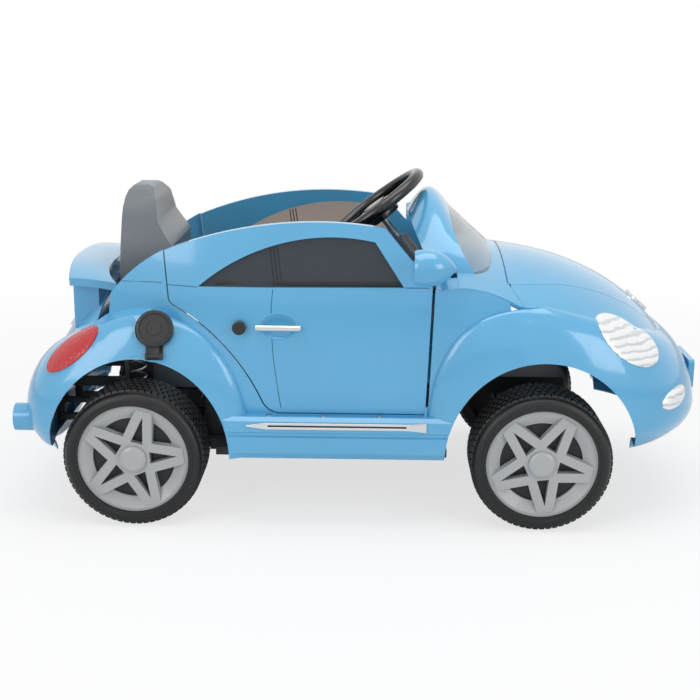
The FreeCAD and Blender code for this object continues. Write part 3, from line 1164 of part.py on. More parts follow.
# Dashboard under the windscreen, standing on the toe board, with its lever and button.
dash_low = "dash_top - dash_drop"
dash = padded("XZ_Plane", [
    ("dash_face_x", dash_low), ("dash_face_x", "dash_top - 22"), ("dash_face_x + 22", "dash_top"),
    ("tub_front + 10", "dash_top"), ("tub_front + 10", "dash_top - dash_wall"),
    ("dash_face_x + 22 + dash_wall / 2", "dash_top - dash_wall"), ("dash_face_x + dash_wall", "dash_top - 22 - dash_wall / 2"),
    ("dash_face_x + dash_wall", dash_low)], "2 * dash_half")
legs = sided("tub_front - plate_wall", "tub_front", "dash_leg", "dash_leg + 20", "toe_top", "dash_top - 1")
ears = [box("dash_face_x + dash_wall - 1", "lever_x + 8", f"lever_y + {side} * 11.5 - 2.5", f"lever_y + {side} * 11.5 + 2.5",
            "control_z - 8", "control_z + 8") for side in (-1, 1)]
button_hole = cylinder("button_radius + running_clearance", "2 * button_length",
                       (size.dash_face_x - size.button_length, size.button_half, size.control_z), (1, 0, 0))
lever_slot = box("dash_face_x - 5", "dash_face_x + dash_wall + 5", "lever_y - lever_radius - 2", "lever_y + lever_radius + 2",
                 "control_z - 16", "control_z + 16")
lever_hole = cylinder("lever_pin + running_clearance", "40 mm", (size.lever_x, size.lever_y - 20, size.control_z), (0, 1, 0))
column_hole = cylinder("column_radius", "2 * column_length", column_low - steer_axis * 30, steer_axis)
keep(cut(fuse(dash, *legs, *ears), button_hole, lever_slot, lever_hole, column_hole), "dashboard")
keep(cylinder("button_radius", "button_length", (size.dash_face_x - 10, size.button_half, size.control_z), (1, 0, 0)),
     "power_button")
lever_pivot = Vector(size.lever_x, size.lever_y, size.control_z)
lever_end = lever_pivot - Vector(size.lever_length - 4, 0, 0)
keep(fuse(cylinder("lever_radius", "lever_length", lever_pivot, (-1, 0, 0)),
          cylinder("lever_knob", "lever_knob_length", lever_end, (-1, 0, 0)),
          cylinder("lever_radius + 2", "16 mm", lever_pivot - Vector(0, 8, 0), (0, 1, 0)),
          cylinder("lever_pin", "28 mm", lever_pivot - Vector(0, 14, 0), (0, 1, 0))), "gear_lever")

# Accelerator pedal on a cross pin in the floor.
plate_turn = Rotation(Vector(0, 1, 0), size.pedal_lean)
treadle = doc.addObject("Part::Box", "treadle")
bind(treadle, Length="pedal_thickness", Width="pedal_width", Height="pedal_length")
treadle_base = Vector(size.pedal_x, size.pedal_y - size.pedal_width / 2, pedal_z)
treadle.Placement = Placement(treadle_base - plate_turn.multVec(Vector(size.pedal_thickness / 2, 0, 0)), plate_turn)
keep(fuse(treadle,
          cylinder("pedal_barrel", "pedal_width", treadle_base, (0, 1, 0)),
          cylinder("pedal_pin", "pedal_width + 2 * pedal_lug", treadle_base - Vector(0, size.pedal_lug, 0), (0, 1, 0))),
     "accelerator_pedal")

# Trims on the sills and the tail.
keep(group(*sided("trim_rear", "trim_front", "sill_half", "sill_half + trim_proud", "trim_z - trim_height / 2",
                  "trim_z + trim_height / 2")), "sill_trims")
keep(group(*[cylinder("screw_radius", "screw_height", (x, sign * (size.sill_half - 13), size.sill_top))
             for x in (-150, -62, 28) for sign in SIDES.values()]), "sill_screws")
tips = []
for sign in SIDES.values():
    tip_base = (size.pipe_end, sign * size.pipe_half, size.pipe_z)
    tips.append(cut(cylinder("pipe_radius", "pipe_length", tip_base, (1, 0, 0)),
                    cylinder("pipe_radius - pipe_wall", "2 * pipe_length", (size.pipe_end - 10, *tip_base[1:]), (1, 0, 0))))
keep(group(*tips), "exhaust_tips")

doc.recompute()
for obj in parts:
    if "Invalid" in obj.State or "Error" in obj.State or obj.Shape.isNull() or not obj.Shape.isValid():
        raise RuntimeError(f"{obj.Label} is not a sound shape")
os.makedirs("parts", exist_ok=True)
for obj in parts:
    obj.Shape.exportStep(f"parts/{obj.Label}.step")
print(len(parts), "sub-parts written")
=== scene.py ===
import json
import math

import bpy
from mathutils import Matrix, Vector

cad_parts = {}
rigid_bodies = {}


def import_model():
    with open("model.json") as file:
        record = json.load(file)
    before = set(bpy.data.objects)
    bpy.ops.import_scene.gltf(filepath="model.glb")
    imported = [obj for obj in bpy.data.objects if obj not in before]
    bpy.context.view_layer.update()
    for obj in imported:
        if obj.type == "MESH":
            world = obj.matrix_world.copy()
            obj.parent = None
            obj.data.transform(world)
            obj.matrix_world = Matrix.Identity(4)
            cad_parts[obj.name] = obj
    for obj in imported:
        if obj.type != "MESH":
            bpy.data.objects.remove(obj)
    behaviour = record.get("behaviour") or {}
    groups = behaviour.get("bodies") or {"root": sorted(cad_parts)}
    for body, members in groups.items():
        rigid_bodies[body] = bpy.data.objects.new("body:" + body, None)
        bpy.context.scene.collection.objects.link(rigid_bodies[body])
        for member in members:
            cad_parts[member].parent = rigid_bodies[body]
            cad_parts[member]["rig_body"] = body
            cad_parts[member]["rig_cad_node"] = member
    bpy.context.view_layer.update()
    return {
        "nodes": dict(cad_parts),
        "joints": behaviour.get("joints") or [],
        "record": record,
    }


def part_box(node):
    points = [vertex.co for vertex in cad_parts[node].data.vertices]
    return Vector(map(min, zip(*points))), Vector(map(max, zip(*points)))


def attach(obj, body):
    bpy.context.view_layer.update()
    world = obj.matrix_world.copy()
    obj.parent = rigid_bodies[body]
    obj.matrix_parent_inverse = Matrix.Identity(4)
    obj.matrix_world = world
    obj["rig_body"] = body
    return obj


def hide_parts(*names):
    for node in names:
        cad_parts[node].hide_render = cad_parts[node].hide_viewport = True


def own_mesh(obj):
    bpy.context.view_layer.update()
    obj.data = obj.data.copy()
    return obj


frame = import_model()
nodes = frame["nodes"]
joints = {joint["name"]: joint for joint in frame["joints"]}
slot_of = {part["node"]: part["material_slot"] for part in frame["record"]["subparts"]}

SIDES = {"right": -1, "left": 1}
MM = 0.001
QUARTER = math.pi / 2


# Colours and material nodes.
PLASTIC_IOR = 1.49
THIN_SHEET_IOR = 1.3  # lower than solid plastic, so that a thin window bends what is behind it less
COLOUR_DRIFT_SCALE = 7.0
PLATING_RIPPLE = 18 * MM
FLOW_LINES = 60 * MM
REFLECTOR_STEPS = 36 * MM


def linear(code):
    """Linear colour of an sRGB hex code."""
    levels = [int(code[i:i + 2], 16) / 255 for i in (1, 3, 5)]
    return (*[v / 12.92 if v <= 0.04045 else ((v + 0.055) / 1.055) ** 2.4 for v in levels], 1.0)


def add_node(tree, kind, inputs=None, **settings):
    """Node of a kind with its settings, and inputs that are either values or sockets to link."""
    node = tree.nodes.new(kind)
    for name, value in settings.items():
        setattr(node, name, value)
    for name, value in (inputs or {}).items():
        if isinstance(value, bpy.types.NodeSocket):
            tree.links.new(value, node.inputs[name])
        else:
            node.inputs[name].default_value = value
    return node


def new_material(name):
    """Empty principled material: its node tree, its shader and its object coordinates."""
    material = bpy.data.materials.new(name)
    material.use_nodes = True
    tree = material.node_tree
    shader = tree.nodes["Principled BSDF"]
    place = add_node(tree, "ShaderNodeTexCoord").outputs["Object"]
    return material, tree, shader, place


def moulded(name, code, roughness, grain_mm, relief_mm, shift=0.04, coat=0.0):
    """Moulded plastic: slight waviness of the tool, faint scuffs and a little drift in colour."""
    material, tree, shader, place = new_material(name)
    wave = add_node(tree, "ShaderNodeTexNoise",
                    {"Vector": place, "Scale": 1 / (grain_mm * MM), "Detail": 2.0})
    broad = add_node(tree, "ShaderNodeTexNoise",
                     {"Vector": place, "Scale": COLOUR_DRIFT_SCALE, "Detail": 3.0})
    base = linear(code)
    tone = add_node(tree, "ShaderNodeValToRGB", {"Fac": broad.outputs["Fac"]})
    tone.color_ramp.elements[0].position = 0.3
    tone.color_ramp.elements[1].position = 0.7
    tone.color_ramp.elements[0].color = (*[v * (1 - shift) for v in base[:3]], 1)
    tone.color_ramp.elements[1].color = (*[min(1, v * (1 + shift)) for v in base[:3]], 1)
    gloss = add_node(tree, "ShaderNodeMapRange",
                     {"Value": broad.outputs["Fac"], "To Min": roughness * 0.85, "To Max": roughness * 1.2})
    bump = add_node(tree, "ShaderNodeBump",
                    {"Height": wave.outputs["Fac"], "Distance": relief_mm * MM, "Strength": 1.0})
    tree.links.new(tone.outputs["Color"], shader.inputs["Base Color"])
    tree.links.new(gloss.outputs["Result"], shader.inputs["Roughness"])
    tree.links.new(bump.outputs["Normal"], shader.inputs["Normal"])
    shader.inputs["IOR"].default_value = PLASTIC_IOR
    shader.inputs["Coat Weight"].default_value = coat
    shader.inputs["Coat Roughness"].default_value = 0.06
    return material


def plated(name, code, roughness):
    """Bright plating over plastic: a mirror with the soft ripple of the moulding under it."""
    material, tree, shader, place = new_material(name)
    ripple = add_node(tree, "ShaderNodeTexNoise",
                      {"Vector": place, "Scale": 1 / PLATING_RIPPLE, "Detail": 1.0})
    bump = add_node(tree, "ShaderNodeBump",
                    {"Height": ripple.outputs["Fac"], "Distance": 0.15 * MM, "Strength": 1.0})
    haze = add_node(tree, "ShaderNodeMapRange",
                    {"Value": ripple.outputs["Fac"], "To Min": roughness * 0.8, "To Max": roughness * 1.3})
    tree.links.new(bump.outputs["Normal"], shader.inputs["Normal"])
    tree.links.new(haze.outputs["Result"], shader.inputs["Roughness"])
    shader.inputs["Base Color"].default_value = linear(code)
    shader.inputs["Metallic"].default_value = 1.0
    return material


def glazing(name, code, clear, roughness):
    """Clear or tinted polycarbonate sheet with the faint flow lines of its moulding."""
    material, tree, shader, place = new_material(name)
    flow = add_node(tree, "ShaderNodeTexNoise", {"Vector": place, "Scale": 1 / FLOW_LINES, "Detail": 1.0})
    bump = add_node(tree, "ShaderNodeBump",
                    {"Height": flow.outputs["Fac"], "Distance": 0.4 * MM, "Strength": 0.4})
    tree.links.new(bump.outputs["Normal"], shader.inputs["Normal"])
    shader.inputs["Base Color"].default_value = linear(code)
    shader.inputs["Transmission Weight"].default_value = clear
    shader.inputs["Roughness"].default_value = roughness
    shader.inputs["IOR"].default_value = THIN_SHEET_IOR
    return material


def faceted_lens(name, code, clear, cell_mm, relief_mm):
    """Lamp lens moulded with small pillow facets on its inside."""
    material, tree, shader, place = new_material(name)
    cells = add_node(tree, "ShaderNodeTexVoronoi",
                     {"Vector": place, "Scale": 1 / (cell_mm * MM), "Randomness": 0.35})
    bump = add_node(tree, "ShaderNodeBump",
                    {"Height": cells.outputs["Distance"], "Distance": relief_mm * MM}, invert=True)
    tree.links.new(bump.outputs["Normal"], shader.inputs["Normal"])
    shader.inputs["Base Color"].default_value = linear(code)
    shader.inputs["Transmission Weight"].default_value = clear
    shader.inputs["Roughness"].default_value = 0.12
    shader.inputs["IOR"].default_value = PLASTIC_IOR
    shader.inputs["Coat Weight"].default_value = 0.6
    shader.inputs["Coat Roughness"].default_value = 0.03
    return material


def painted_reflector_face(name):
    """Clear lens over a plated reflector, drawn as a bright face with grey streaks: painted reflection of
    the reflector's moulded steps, whose relief is also bumped in.
    """
    material, tree, shader, place = new_material(name)
    steps = add_node(tree, "ShaderNodeTexWave",
                     {"Vector": place, "Scale": 1 / REFLECTOR_STEPS, "Distortion": 3.0, "Detail": 2.0,
                      "Detail Scale": 1.5}, bands_direction="Z")
    # Painted reflection: the ramp from grey to near white stands for the plated steps' shine.
    tone = add_node(tree, "ShaderNodeValToRGB", {"Fac": steps.outputs["Fac"]})
    tone.color_ramp.elements[0].color = linear("#c6cacc")
    tone.color_ramp.elements[1].position = 0.45
    tone.color_ramp.elements[1].color = linear("#eef0f1")
    bump = add_node(tree, "ShaderNodeBump",
                    {"Height": steps.outputs["Fac"], "Distance": 1.2 * MM, "Strength": 0.5})
    tree.links.new(tone.outputs["Color"], shader.inputs["Base Color"])
    tree.links.new(bump.outputs["Normal"], shader.inputs["Normal"])
    shader.inputs["Metallic"].default_value = 0.35
    shader.inputs["Roughness"].default_value = 0.22
    shader.inputs["Coat Weight"].default_value = 1.0
    shader.inputs["Coat Roughness"].default_value = 0.03
    return material


# Gloss blue shell: a clear coat over a soft blue, with long highlights along the wings.
BLUE = moulded("gloss_blue_polypropylene", "#58a9d5", 0.2, 9, 0.05, 0.03, 0.7)
# Frame, dashboard and cap: dull black with a fine grain.
FRAME_BLACK = moulded("black_polypropylene", "#1c1d1f", 0.45, 2.5, 0.08)
# Steering wheel and knobs: deep black with sharp highlights.
GLOSS_BLACK = moulded("gloss_black_abs", "#0d0e10", 0.2, 6, 0.05, 0.05, 0.3)
# Hollow plastic tyres: black, between dull and glossy, so that the tread blocks catch light.
TYRE = moulded("black_tyre_plastic", "#0f1011", 0.4, 1.6, 0.1)
# Seat: mid grey with a soft sheen.
SEAT_GREY = moulded("grey_polypropylene", "#666d72", 0.34, 3, 0.06, 0.04, 0.1)
# Rims: even light grey paint, not a mirror.
SILVER = moulded("silver_painted_abs", "#aaadaf", 0.34, 4, 0.03, 0.03, 0.3)
# Springs, screws and axles: dull bright metal.
STEEL = plated("zinc_plated_steel", "#a9abad", 0.34)
# Handles, sill strips and badges: a clear mirror.
CHROME = plated("chrome_plated_abs", "#d6d9dc", 0.09)
# Mirror faces: the sharpest reflection on the car.
MIRROR = plated("mirror_film", "#e3e6e8", 0.03)
# Windscreen: nearly colourless and a little hazy.
CLEAR = glazing("clear_polycarbonate", "#e9ecee", 0.9, 0.16)
# Near window: painted shade, a darker and less clear copy of the far window's pale smoked sheet, with the
# cabin only just showing.
SMOKED_PAINTED_SHADE = glazing("smoked_polycarbonate", "#4d545b", 0.4, 0.06)
# Far window: pale and warm, as it shows against the light.
PALE_SMOKED = glazing("pale_smoked_polycarbonate", "#b9aba2", 0.95, 0.05)
# Door grooves and the belt line: painted shade, the shell's blue darkened as it looks in shadow, laid on
# thin raised ribs.
GROOVE_PAINTED_SHADE = moulded("painted_shade_blue_polypropylene", "#245779", 0.5, 4, 0.03)
# Tail lamps: deep red with small glints from the facets.
RED_LENS = faceted_lens("red_acrylic", "#d8161f", 0.35, 7, 1.2)
# Head and fog lamps: painted reflection, near white with soft grey streaks for the shine of the plated
# steps.
LAMP_PAINTED_REFLECTION = painted_reflector_face("clear_acrylic_painted_reflector_shine")
# Power button: plain bright red.
RED_BUTTON = moulded("red_abs", "#b5161b", 0.28, 4, 0.03)
FINISH = {
    "blue_plastic": BLUE, "black_plastic": FRAME_BLACK, "grey_plastic": SEAT_GREY,
    "silver_plastic": SILVER, "tyre_plastic": TYRE, "chrome_trim": CHROME, "clear_glazing": CLEAR,
    "smoked_glazing": SMOKED_PAINTED_SHADE, "red_lens": RED_LENS, "mirror_face": MIRROR, "steel": STEEL,
    "red_button": RED_BUTTON, "battery_case": FRAME_BLACK,
}


# Modelling helpers.
def clear_selection():
    if bpy.context.object and bpy.context.object.mode != "OBJECT":
        bpy.ops.object.mode_set(mode="OBJECT")
    bpy.ops.object.select_all(action="DESELECT")


def take(piece):
    """Make a piece the only selected and active one."""
    clear_selection()
    piece.select_set(True)
    bpy.context.view_layer.objects.active = piece


def pick(piece, chosen):
    """Open a piece for editing with the faces selected that a test on centre and normal chooses."""
    take(piece)
    bpy.ops.object.mode_set(mode="EDIT")
    bpy.ops.mesh.select_mode(type="FACE")
    bpy.ops.mesh.select_all(action="DESELECT")
    bpy.ops.object.mode_set(mode="OBJECT")
    for face in piece.data.polygons:
        face.select = chosen(face.center, face.normal)
    bpy.ops.object.mode_set(mode="EDIT")


def done():
    bpy.ops.object.mode_set(mode="OBJECT")


def modify(piece, kind, **settings):
    """Add a modifier with its settings and apply it."""
    take(piece)
    modifier = piece.modifiers.new(kind.lower(), kind)
    for name, value in settings.items():
        setattr(modifier, name, value)
    bpy.ops.object.modifier_apply(modifier=modifier.name)


def smooth(piece, degrees=35):
    take(piece)
    bpy.ops.object.shade_smooth_by_angle(angle=math.radians(degrees))


def join(name, *pieces):
    clear_selection()
    for piece in pieces:
        piece.select_set(True)
    bpy.context.view_layer.objects.active = pieces[0]
    if len(pieces) > 1:
        bpy.ops.object.join()
    pieces[0].name = name
    return pieces[0]


def put(piece, matrix):
    """Move a piece modelled at the origin to its place and bake that into its mesh."""
    take(piece)
    piece.matrix_world = matrix @ piece.matrix_world
    bpy.ops.object.transform_apply(location=True, rotation=True, scale=True)


def soften(piece, width_mm, segments, degrees):
    """Round the edges that are sharper than an angle."""
    modify(piece, "BEVEL", width=width_mm * MM, segments=segments, limit_method="ANGLE",
           angle_limit=math.radians(degrees))


def block(size, place=(0, 0, 0)):
    """Cube brought to a size at a place, both in millimetres, to be shaped further."""
    clear_selection()
    bpy.ops.mesh.primitive_cube_add(size=1, location=Vector(place) * MM)
    piece = bpy.context.object
    piece.scale = Vector(size) * MM
    put(piece, Matrix.Identity(4))
    return piece


def turned_to(x, y, z):
    """Rotation that brings the axes to three directions."""
    return Matrix((x, y, z)).transposed().to_4x4()


def twin(piece, name):
    """Copy of a piece with a mesh of its own."""
    take(piece)
    bpy.ops.object.duplicate()
    copy = bpy.context.object
    copy.name = name
    return copy


def wear(piece, material, body, slot=None, *replaced):
    """Give a finished piece its material, its body and the nodes it stands for; the slot argument is not
    used.
    """
    piece.data.materials.clear()
    piece.data.materials.append(material)
    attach(piece, body)
    if replaced:
        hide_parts(*replaced)
    return piece


def body_of(node):
    return nodes[node]["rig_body"]


def shell(node, material, bevel_mm=0.0, segments=2, degrees=30):
    """Copy of a node's solid as one welded skin with softened edges."""
    piece = twin(nodes[node], node + "_skin")
    piece.parent = None
    del piece["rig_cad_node"]
    take(piece)
    bpy.ops.object.mode_set(mode="EDIT")
    bpy.ops.mesh.select_all(action="SELECT")
    bpy.ops.mesh.remove_doubles(threshold=0.01 * MM)
    if bevel_mm:
        bpy.ops.mesh.dissolve_limited(angle_limit=math.radians(1))
    done()
    if bevel_mm:
        soften(piece, bevel_mm, segments, degrees)
    smooth(piece, degrees)
    modify(piece, "WEIGHTED_NORMAL", mode="FACE_AREA", weight=50, keep_sharp=True)
    return wear(piece, material, body_of(node), slot_of[node], node)


# Every node first gets the finish of its slot.
for name, node in nodes.items():
    node.data.materials.clear()
    node.data.materials.append(FINISH[slot_of[name]])
for name in ("horn_button", "gear_lever"):
    nodes[name].data.materials[0] = GLOSS_BLACK
nodes["window_left"].data.materials[0] = PALE_SMOKED

shell("seat", SEAT_GREY, 8, 3)
for side in SIDES:
    shell(f"latch_knob_{side}", GLOSS_BLACK, 1.8, 3, 40)
    shell(f"door_handle_{side}", CHROME, 1.2, 3, 40)
shell("badges", CHROME, 1.6, 3, 40)
for end in ("front", "rear"):
    for side in SIDES:
        shell(f"rim_cover_{end}_{side}", SILVER, 1.4, 2, 25)
        shell(f"hub_cap_{end}_{side}", SILVER, 1.2, 2, 25)

# Tyres: a carcass with its recess and hub, rows of tread blocks and slanted shoulder lugs.
TYRE_RADIUS = 115 * MM
TYRE_WIDTH = 98 * MM
TREAD_DEPTH = 4 * MM
RIM_RADIUS = 90.6 * MM
RIM_RECESS = 20 * MM
TREAD_ROWS = 5
TREAD_BLOCKS = 66
TREAD_SPAN = 74 * MM
LUGS = 66
LUG_WIDTH = 13 * MM
SHOULDER = 11 * MM
WHEEL_HUB_RADIUS = 25 * MM
INNER_RECESS, HUB_RISE = 60 * MM, 44 * MM
SIDEWALL_STEPS = ((1.5, 0), (0.6, 1.0), (3.0, 0), (0.6, -1.0))  # inset and rise of the raised ring


def tread_row(place, width, turn):
    bpy.ops.mesh.primitive_cylinder_add(vertices=TREAD_BLOCKS, radius=TYRE_RADIUS - TREAD_DEPTH,
                                        depth=width, end_fill_type="NOTHING", location=(0, place, 0),
                                        rotation=(QUARTER, turn, 0))
    row = bpy.context.object
    pick(row, lambda centre, normal: True)
    bpy.ops.mesh.inset(thickness=1.3 * MM, depth=TREAD_DEPTH, use_individual=True)
    done()
    return row


def lug_row(side, turn):
    bpy.ops.mesh.primitive_cone_add(vertices=LUGS, radius1=TYRE_RADIUS - TREAD_DEPTH,
                                    radius2=TYRE_RADIUS - 14 * MM, depth=LUG_WIDTH,
                                    end_fill_type="NOTHING", rotation=(-side * QUARTER, turn, 0),
                                    location=(0, side * (TYRE_WIDTH - LUG_WIDTH - 2 * MM) / 2, 0))
    row = bpy.context.object
    pick(row, lambda centre, normal: True)
    bpy.ops.mesh.inset(thickness=1.5 * MM, depth=2.6 * MM, use_individual=True)
    done()
    return row


def tyre(outward):
    """Tyre about the Y axis with its open face to one side."""
    clear_selection()
    bpy.ops.mesh.primitive_cylinder_add(vertices=96, radius=TYRE_RADIUS - TREAD_DEPTH, depth=TYRE_WIDTH,
                                        end_fill_type="NGON", rotation=(QUARTER, 0, 0))
    carcass = bpy.context.object
    put(carcass, Matrix.Identity(4))
    pick(carcass, lambda centre, normal: abs(normal.y) > 0.9)
    bpy.ops.mesh.bevel(offset=SHOULDER, segments=4, affect="EDGES")
    done()

    def face_at(side):
        return lambda centre, normal: normal.y * side > 0.99 and centre.xz.length < 1 * MM

    end_radius = TYRE_RADIUS - TREAD_DEPTH - SHOULDER
    pick(carcass, face_at(outward))
    for step, rise in SIDEWALL_STEPS:
        bpy.ops.mesh.inset(thickness=step * MM, depth=rise * MM)
    ring_width = sum(step for step, rise in SIDEWALL_STEPS) * MM
    bpy.ops.mesh.inset(thickness=end_radius - ring_width - RIM_RADIUS, depth=0)
    bpy.ops.mesh.inset(thickness=0.4 * MM, depth=-RIM_RECESS)
    done()
    pick(carcass, face_at(-outward))
    bpy.ops.mesh.inset(thickness=end_radius - RIM_RADIUS, depth=0)
    bpy.ops.mesh.inset(thickness=0.4 * MM, depth=-INNER_RECESS)
    bpy.ops.mesh.inset(thickness=RIM_RADIUS - WHEEL_HUB_RADIUS, depth=0)
    bpy.ops.mesh.inset(thickness=0.3 * MM, depth=HUB_RISE)
    done()
    row_width = TREAD_SPAN / TREAD_ROWS
    rows = []
    for k in range(TREAD_ROWS):
        place = (k - (TREAD_ROWS - 1) / 2) * row_width
        rows.append(tread_row(place, row_width, (k % 2) * math.pi / TREAD_BLOCKS))
    rows += [lug_row(side, 0.5 * math.pi / LUGS) for side in SIDES.values()]
    whole = join("tyre", carcass, *rows)
    smooth(whole, 28)
    return whole


for side, outward in SIDES.items():
    pattern = tyre(outward)
    for end in ("front", "rear"):
        node = f"wheel_{end}_{side}"
        low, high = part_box(node)
        piece = twin(pattern, f"tyre_{end}_{side}")
        put(piece, Matrix.Translation((low + high) / 2))
        wear(piece, TYRE, body_of(node), "tyre_plastic", node)
    bpy.data.objects.remove(pattern)

# Steering wheel: grip ring, broad spokes and a dished hub, modelled flat and set on the column's axis.
steering = joints["steering_turn"]
axis = Vector(steering["axis"]).normalized()
RING_RADIUS = 92 * MM
GRIP_RADIUS = 10 * MM
COLUMN_REACH = 426.4 * MM
HUB_RADIUS, HUB_DEPTH = 34 * MM, 26 * MM
ARM_SIZE = (70, 34, 9)
ARM_PLACE = (57, 0, -5)
ARM_FLARE = 1.25


def steering_wheel():
    clear_selection()
    bpy.ops.mesh.primitive_torus_add(major_radius=RING_RADIUS, minor_radius=GRIP_RADIUS,
                                     major_segments=96, minor_segments=20)
    ring = bpy.context.object
    bpy.ops.mesh.primitive_cylinder_add(vertices=48, radius=HUB_RADIUS, depth=HUB_DEPTH,
                                        location=(0, 0, -HUB_DEPTH / 2))
    hub = bpy.context.object
    put(hub, Matrix.Identity(4))
    pick(hub, lambda centre, normal: normal.z > 0.9)
    bpy.ops.mesh.inset(thickness=5 * MM, depth=0)
    bpy.ops.mesh.inset(thickness=7 * MM, depth=-4 * MM)
    done()
    soften(hub, 2.5, 3, 35)
    arms = []
    for turn in (0, math.pi, -QUARTER):
        arm = block(ARM_SIZE, ARM_PLACE)
        pick(arm, lambda centre, normal: normal.x > 0.9)
        bpy.ops.transform.resize(value=(1, ARM_FLARE, 1), center_override=(90 * MM, 0, 0))
        done()
        pick(arm, lambda centre, normal: normal.z > 0.9)
        bpy.ops.mesh.inset(thickness=6 * MM, depth=-2 * MM)
        done()
        soften(arm, 2, 3, 35)
        put(arm, Matrix.Rotation(turn, 4, "Z"))
        arms.append(arm)
    return join("steering_wheel_grip", ring, hub, *arms)


wheel = steering_wheel()
smooth(wheel, 40)
across = Vector((0, 1, 0))
centre = Vector(steering["pos_m"]) + axis * COLUMN_REACH
put(wheel, Matrix.Translation(centre) @ turned_to(across, axis.cross(across), axis))
wear(wheel, GLOSS_BLACK, "steering", "black_plastic", "steering_wheel")


# Lines and ribs that lie on the doors and flanks.
FLANK_HALF, FLANK_MID_Z, FLANK_REACH, FLANK_LEAN = 246, 280, 217, 24
TAPER_X, TAPER_RUN, TAPER = -120, 200, 18
WINDOW_DEPTH = 5


def flank(x, z):
    """Half width of the car's side in millimetres, as in the part's source."""
    run = max(0.0, (TAPER_X - x) / TAPER_RUN)
    return FLANK_HALF - FLANK_LEAN * ((z - FLANK_MID_Z) / FLANK_REACH) ** 2 - TAPER * run * run


def drawn_line(side, path, width, proud):
    """Narrow rib on the flank, drawn out from its first end along (x, z) places in millimetres."""
    places = [Vector((x, side * (flank(x, z) + proud - width / 2), z)) * MM for x, z in path]
    clear_selection()
    bpy.ops.mesh.primitive_cube_add(size=width * MM, location=places[0])
    rib = bpy.context.object
    put(rib, Matrix.Identity(4))
    way = (places[1] - places[0]).normalized()
    best = max(face.normal.dot(way) for face in rib.data.polygons)
    pick(rib, lambda centre, normal: normal.dot(way) > best - 0.01)
    for here, there in zip(places, places[1:]):
        bpy.ops.mesh.extrude_region_move(TRANSFORM_OT_translate={"value": there - here})
    done()
    soften(rib, 0.2 * width, 2, 50)
    smooth(rib, 40)
    return rib


LINE_WIDTH, LINE_PROUD = 1.3, 0.25
SILL_RIB = ((-232, 400), (-120, 400.5), (60, 401))
DOOR_LINES = (((-143, 392), (-145, 372), (-145.5, 355)),
              ((-144.5, 313), (-143, 290), (-140, 263), (-135, 225), (-131, 199)),
              ((-311, 395), (-285, 394), (-264, 393)), ((66, 397), (86, 397), (104, 397)))
FLANK_LINE = ((-388, 397), (-350, 398), (-322, 398))
DIVIDER_RIBS = (((-147.5, 455), (-141, 399)), ((-142, 456), (-135, 399)),
                ((-136.5, 457), (-128.5, 399)))
for side, sign in SIDES.items():
    # Door and belt lines carry painted shade: dark blue ribs where the grooves fall in shadow.
    door_lines = [drawn_line(sign, path, LINE_WIDTH, LINE_PROUD) for path in DOOR_LINES]
    wear(join(f"door_lines_{side}", *door_lines), GROOVE_PAINTED_SHADE, f"door_{side}", "blue_plastic")
    ribs = [drawn_line(sign, path, 1.8, 1 - WINDOW_DEPTH) for path in DIVIDER_RIBS]
    ribs.append(drawn_line(sign, SILL_RIB, 6.5, 1.2 - WINDOW_DEPTH))
    wear(join(f"window_ribs_{side}", *ribs), FRAME_BLACK, f"door_{side}", "black_plastic")
    belt_line = drawn_line(sign, FLANK_LINE, LINE_WIDTH, LINE_PROUD)
    wear(belt_line, GROOVE_PAINTED_SHADE, "chassis", "blue_plastic").name = f"belt_line_{side}"


# Corners of the cowl between the windscreen's feet and the doors.
CORNER_SIZE = (38, 42, 4)
CORNER_PLACE = (133, 218, 401)
CORNER_SINK = 2.6 * MM


def cowl_corner(sign):
    corner = block(CORNER_SIZE)
    pick(corner, lambda centre, normal: normal.z < -0.9)
    bpy.ops.transform.resize(value=(0.94, 0.94, 1))
    done()
    soften(corner, 1.2, 3, 40)
    across = Vector((0, 43, -sign * 10.5)).normalized()
    along = Vector((38, 0, 4)).normalized()
    facing = along.cross(across).normalized()
    turn = turned_to(across.cross(facing), across, facing)
    x, half_width, z = CORNER_PLACE
    place = Vector((x, sign * half_width, z)) * MM - facing * CORNER_SINK
    put(corner, Matrix.Translation(place) @ turn)
    smooth(corner, 40)
    return corner


corners = join("cowl_corners", *[cowl_corner(sign) for sign in SIDES.values()])
wear(corners, BLUE, "chassis", "blue_plastic")


# Bright strips along the sills: a tapered tail, a flared front and a dark line in their groove.
SILL_HALF = 264
STRIP_X, STRIP_Z, STRIP_LENGTH = -40, 175, 230
STRIP_ENDS = ((-1, 30, 0.25), (1, 28, 1.5))  # way along X, reach, share of the height at the end


def sill_strip(sign):
    strip = block((STRIP_LENGTH, 3.4, 11), (STRIP_X, sign * (SILL_HALF + 1.5), STRIP_Z))
    middle = (0, sign * SILL_HALF * MM, STRIP_Z * MM)
    for way, reach, height in STRIP_ENDS:
        pick(strip, lambda centre, normal: normal.x * way > 0.9)
        bpy.ops.mesh.extrude_region_move(TRANSFORM_OT_translate={"value": (way * reach * MM, 0, 0)})
        bpy.ops.transform.resize(value=(1, 1, height), center_override=middle)
        done()
    pick(strip, lambda centre, normal: normal.y * sign > 0.9
         and abs(centre.x - STRIP_X * MM) < STRIP_LENGTH / 2 * MM)
    bpy.ops.mesh.inset(thickness=3.6 * MM, depth=0)
    bpy.ops.mesh.inset(thickness=0.8 * MM, depth=-1.4 * MM)
    done()
    soften(strip, 0.7, 3, 35)
    smooth(strip, 40)
    return strip


strips = join("sill_strips", *[sill_strip(sign) for sign in SIDES.values()])
wear(strips, CHROME, "chassis", "chrome_trim", "sill_trims")


def sill_line(sign):
    line = block((STRIP_LENGTH - 9, 1.2, 2.2), (STRIP_X, sign * (SILL_HALF + 2.1), STRIP_Z))
    soften(line, 0.4, 2, 35)
    smooth(line, 40)
    return line


sill_lines = join("sill_lines", *[sill_line(sign) for sign in SIDES.values()])
wear(sill_lines, GLOSS_BLACK, "chassis", "black_plastic")

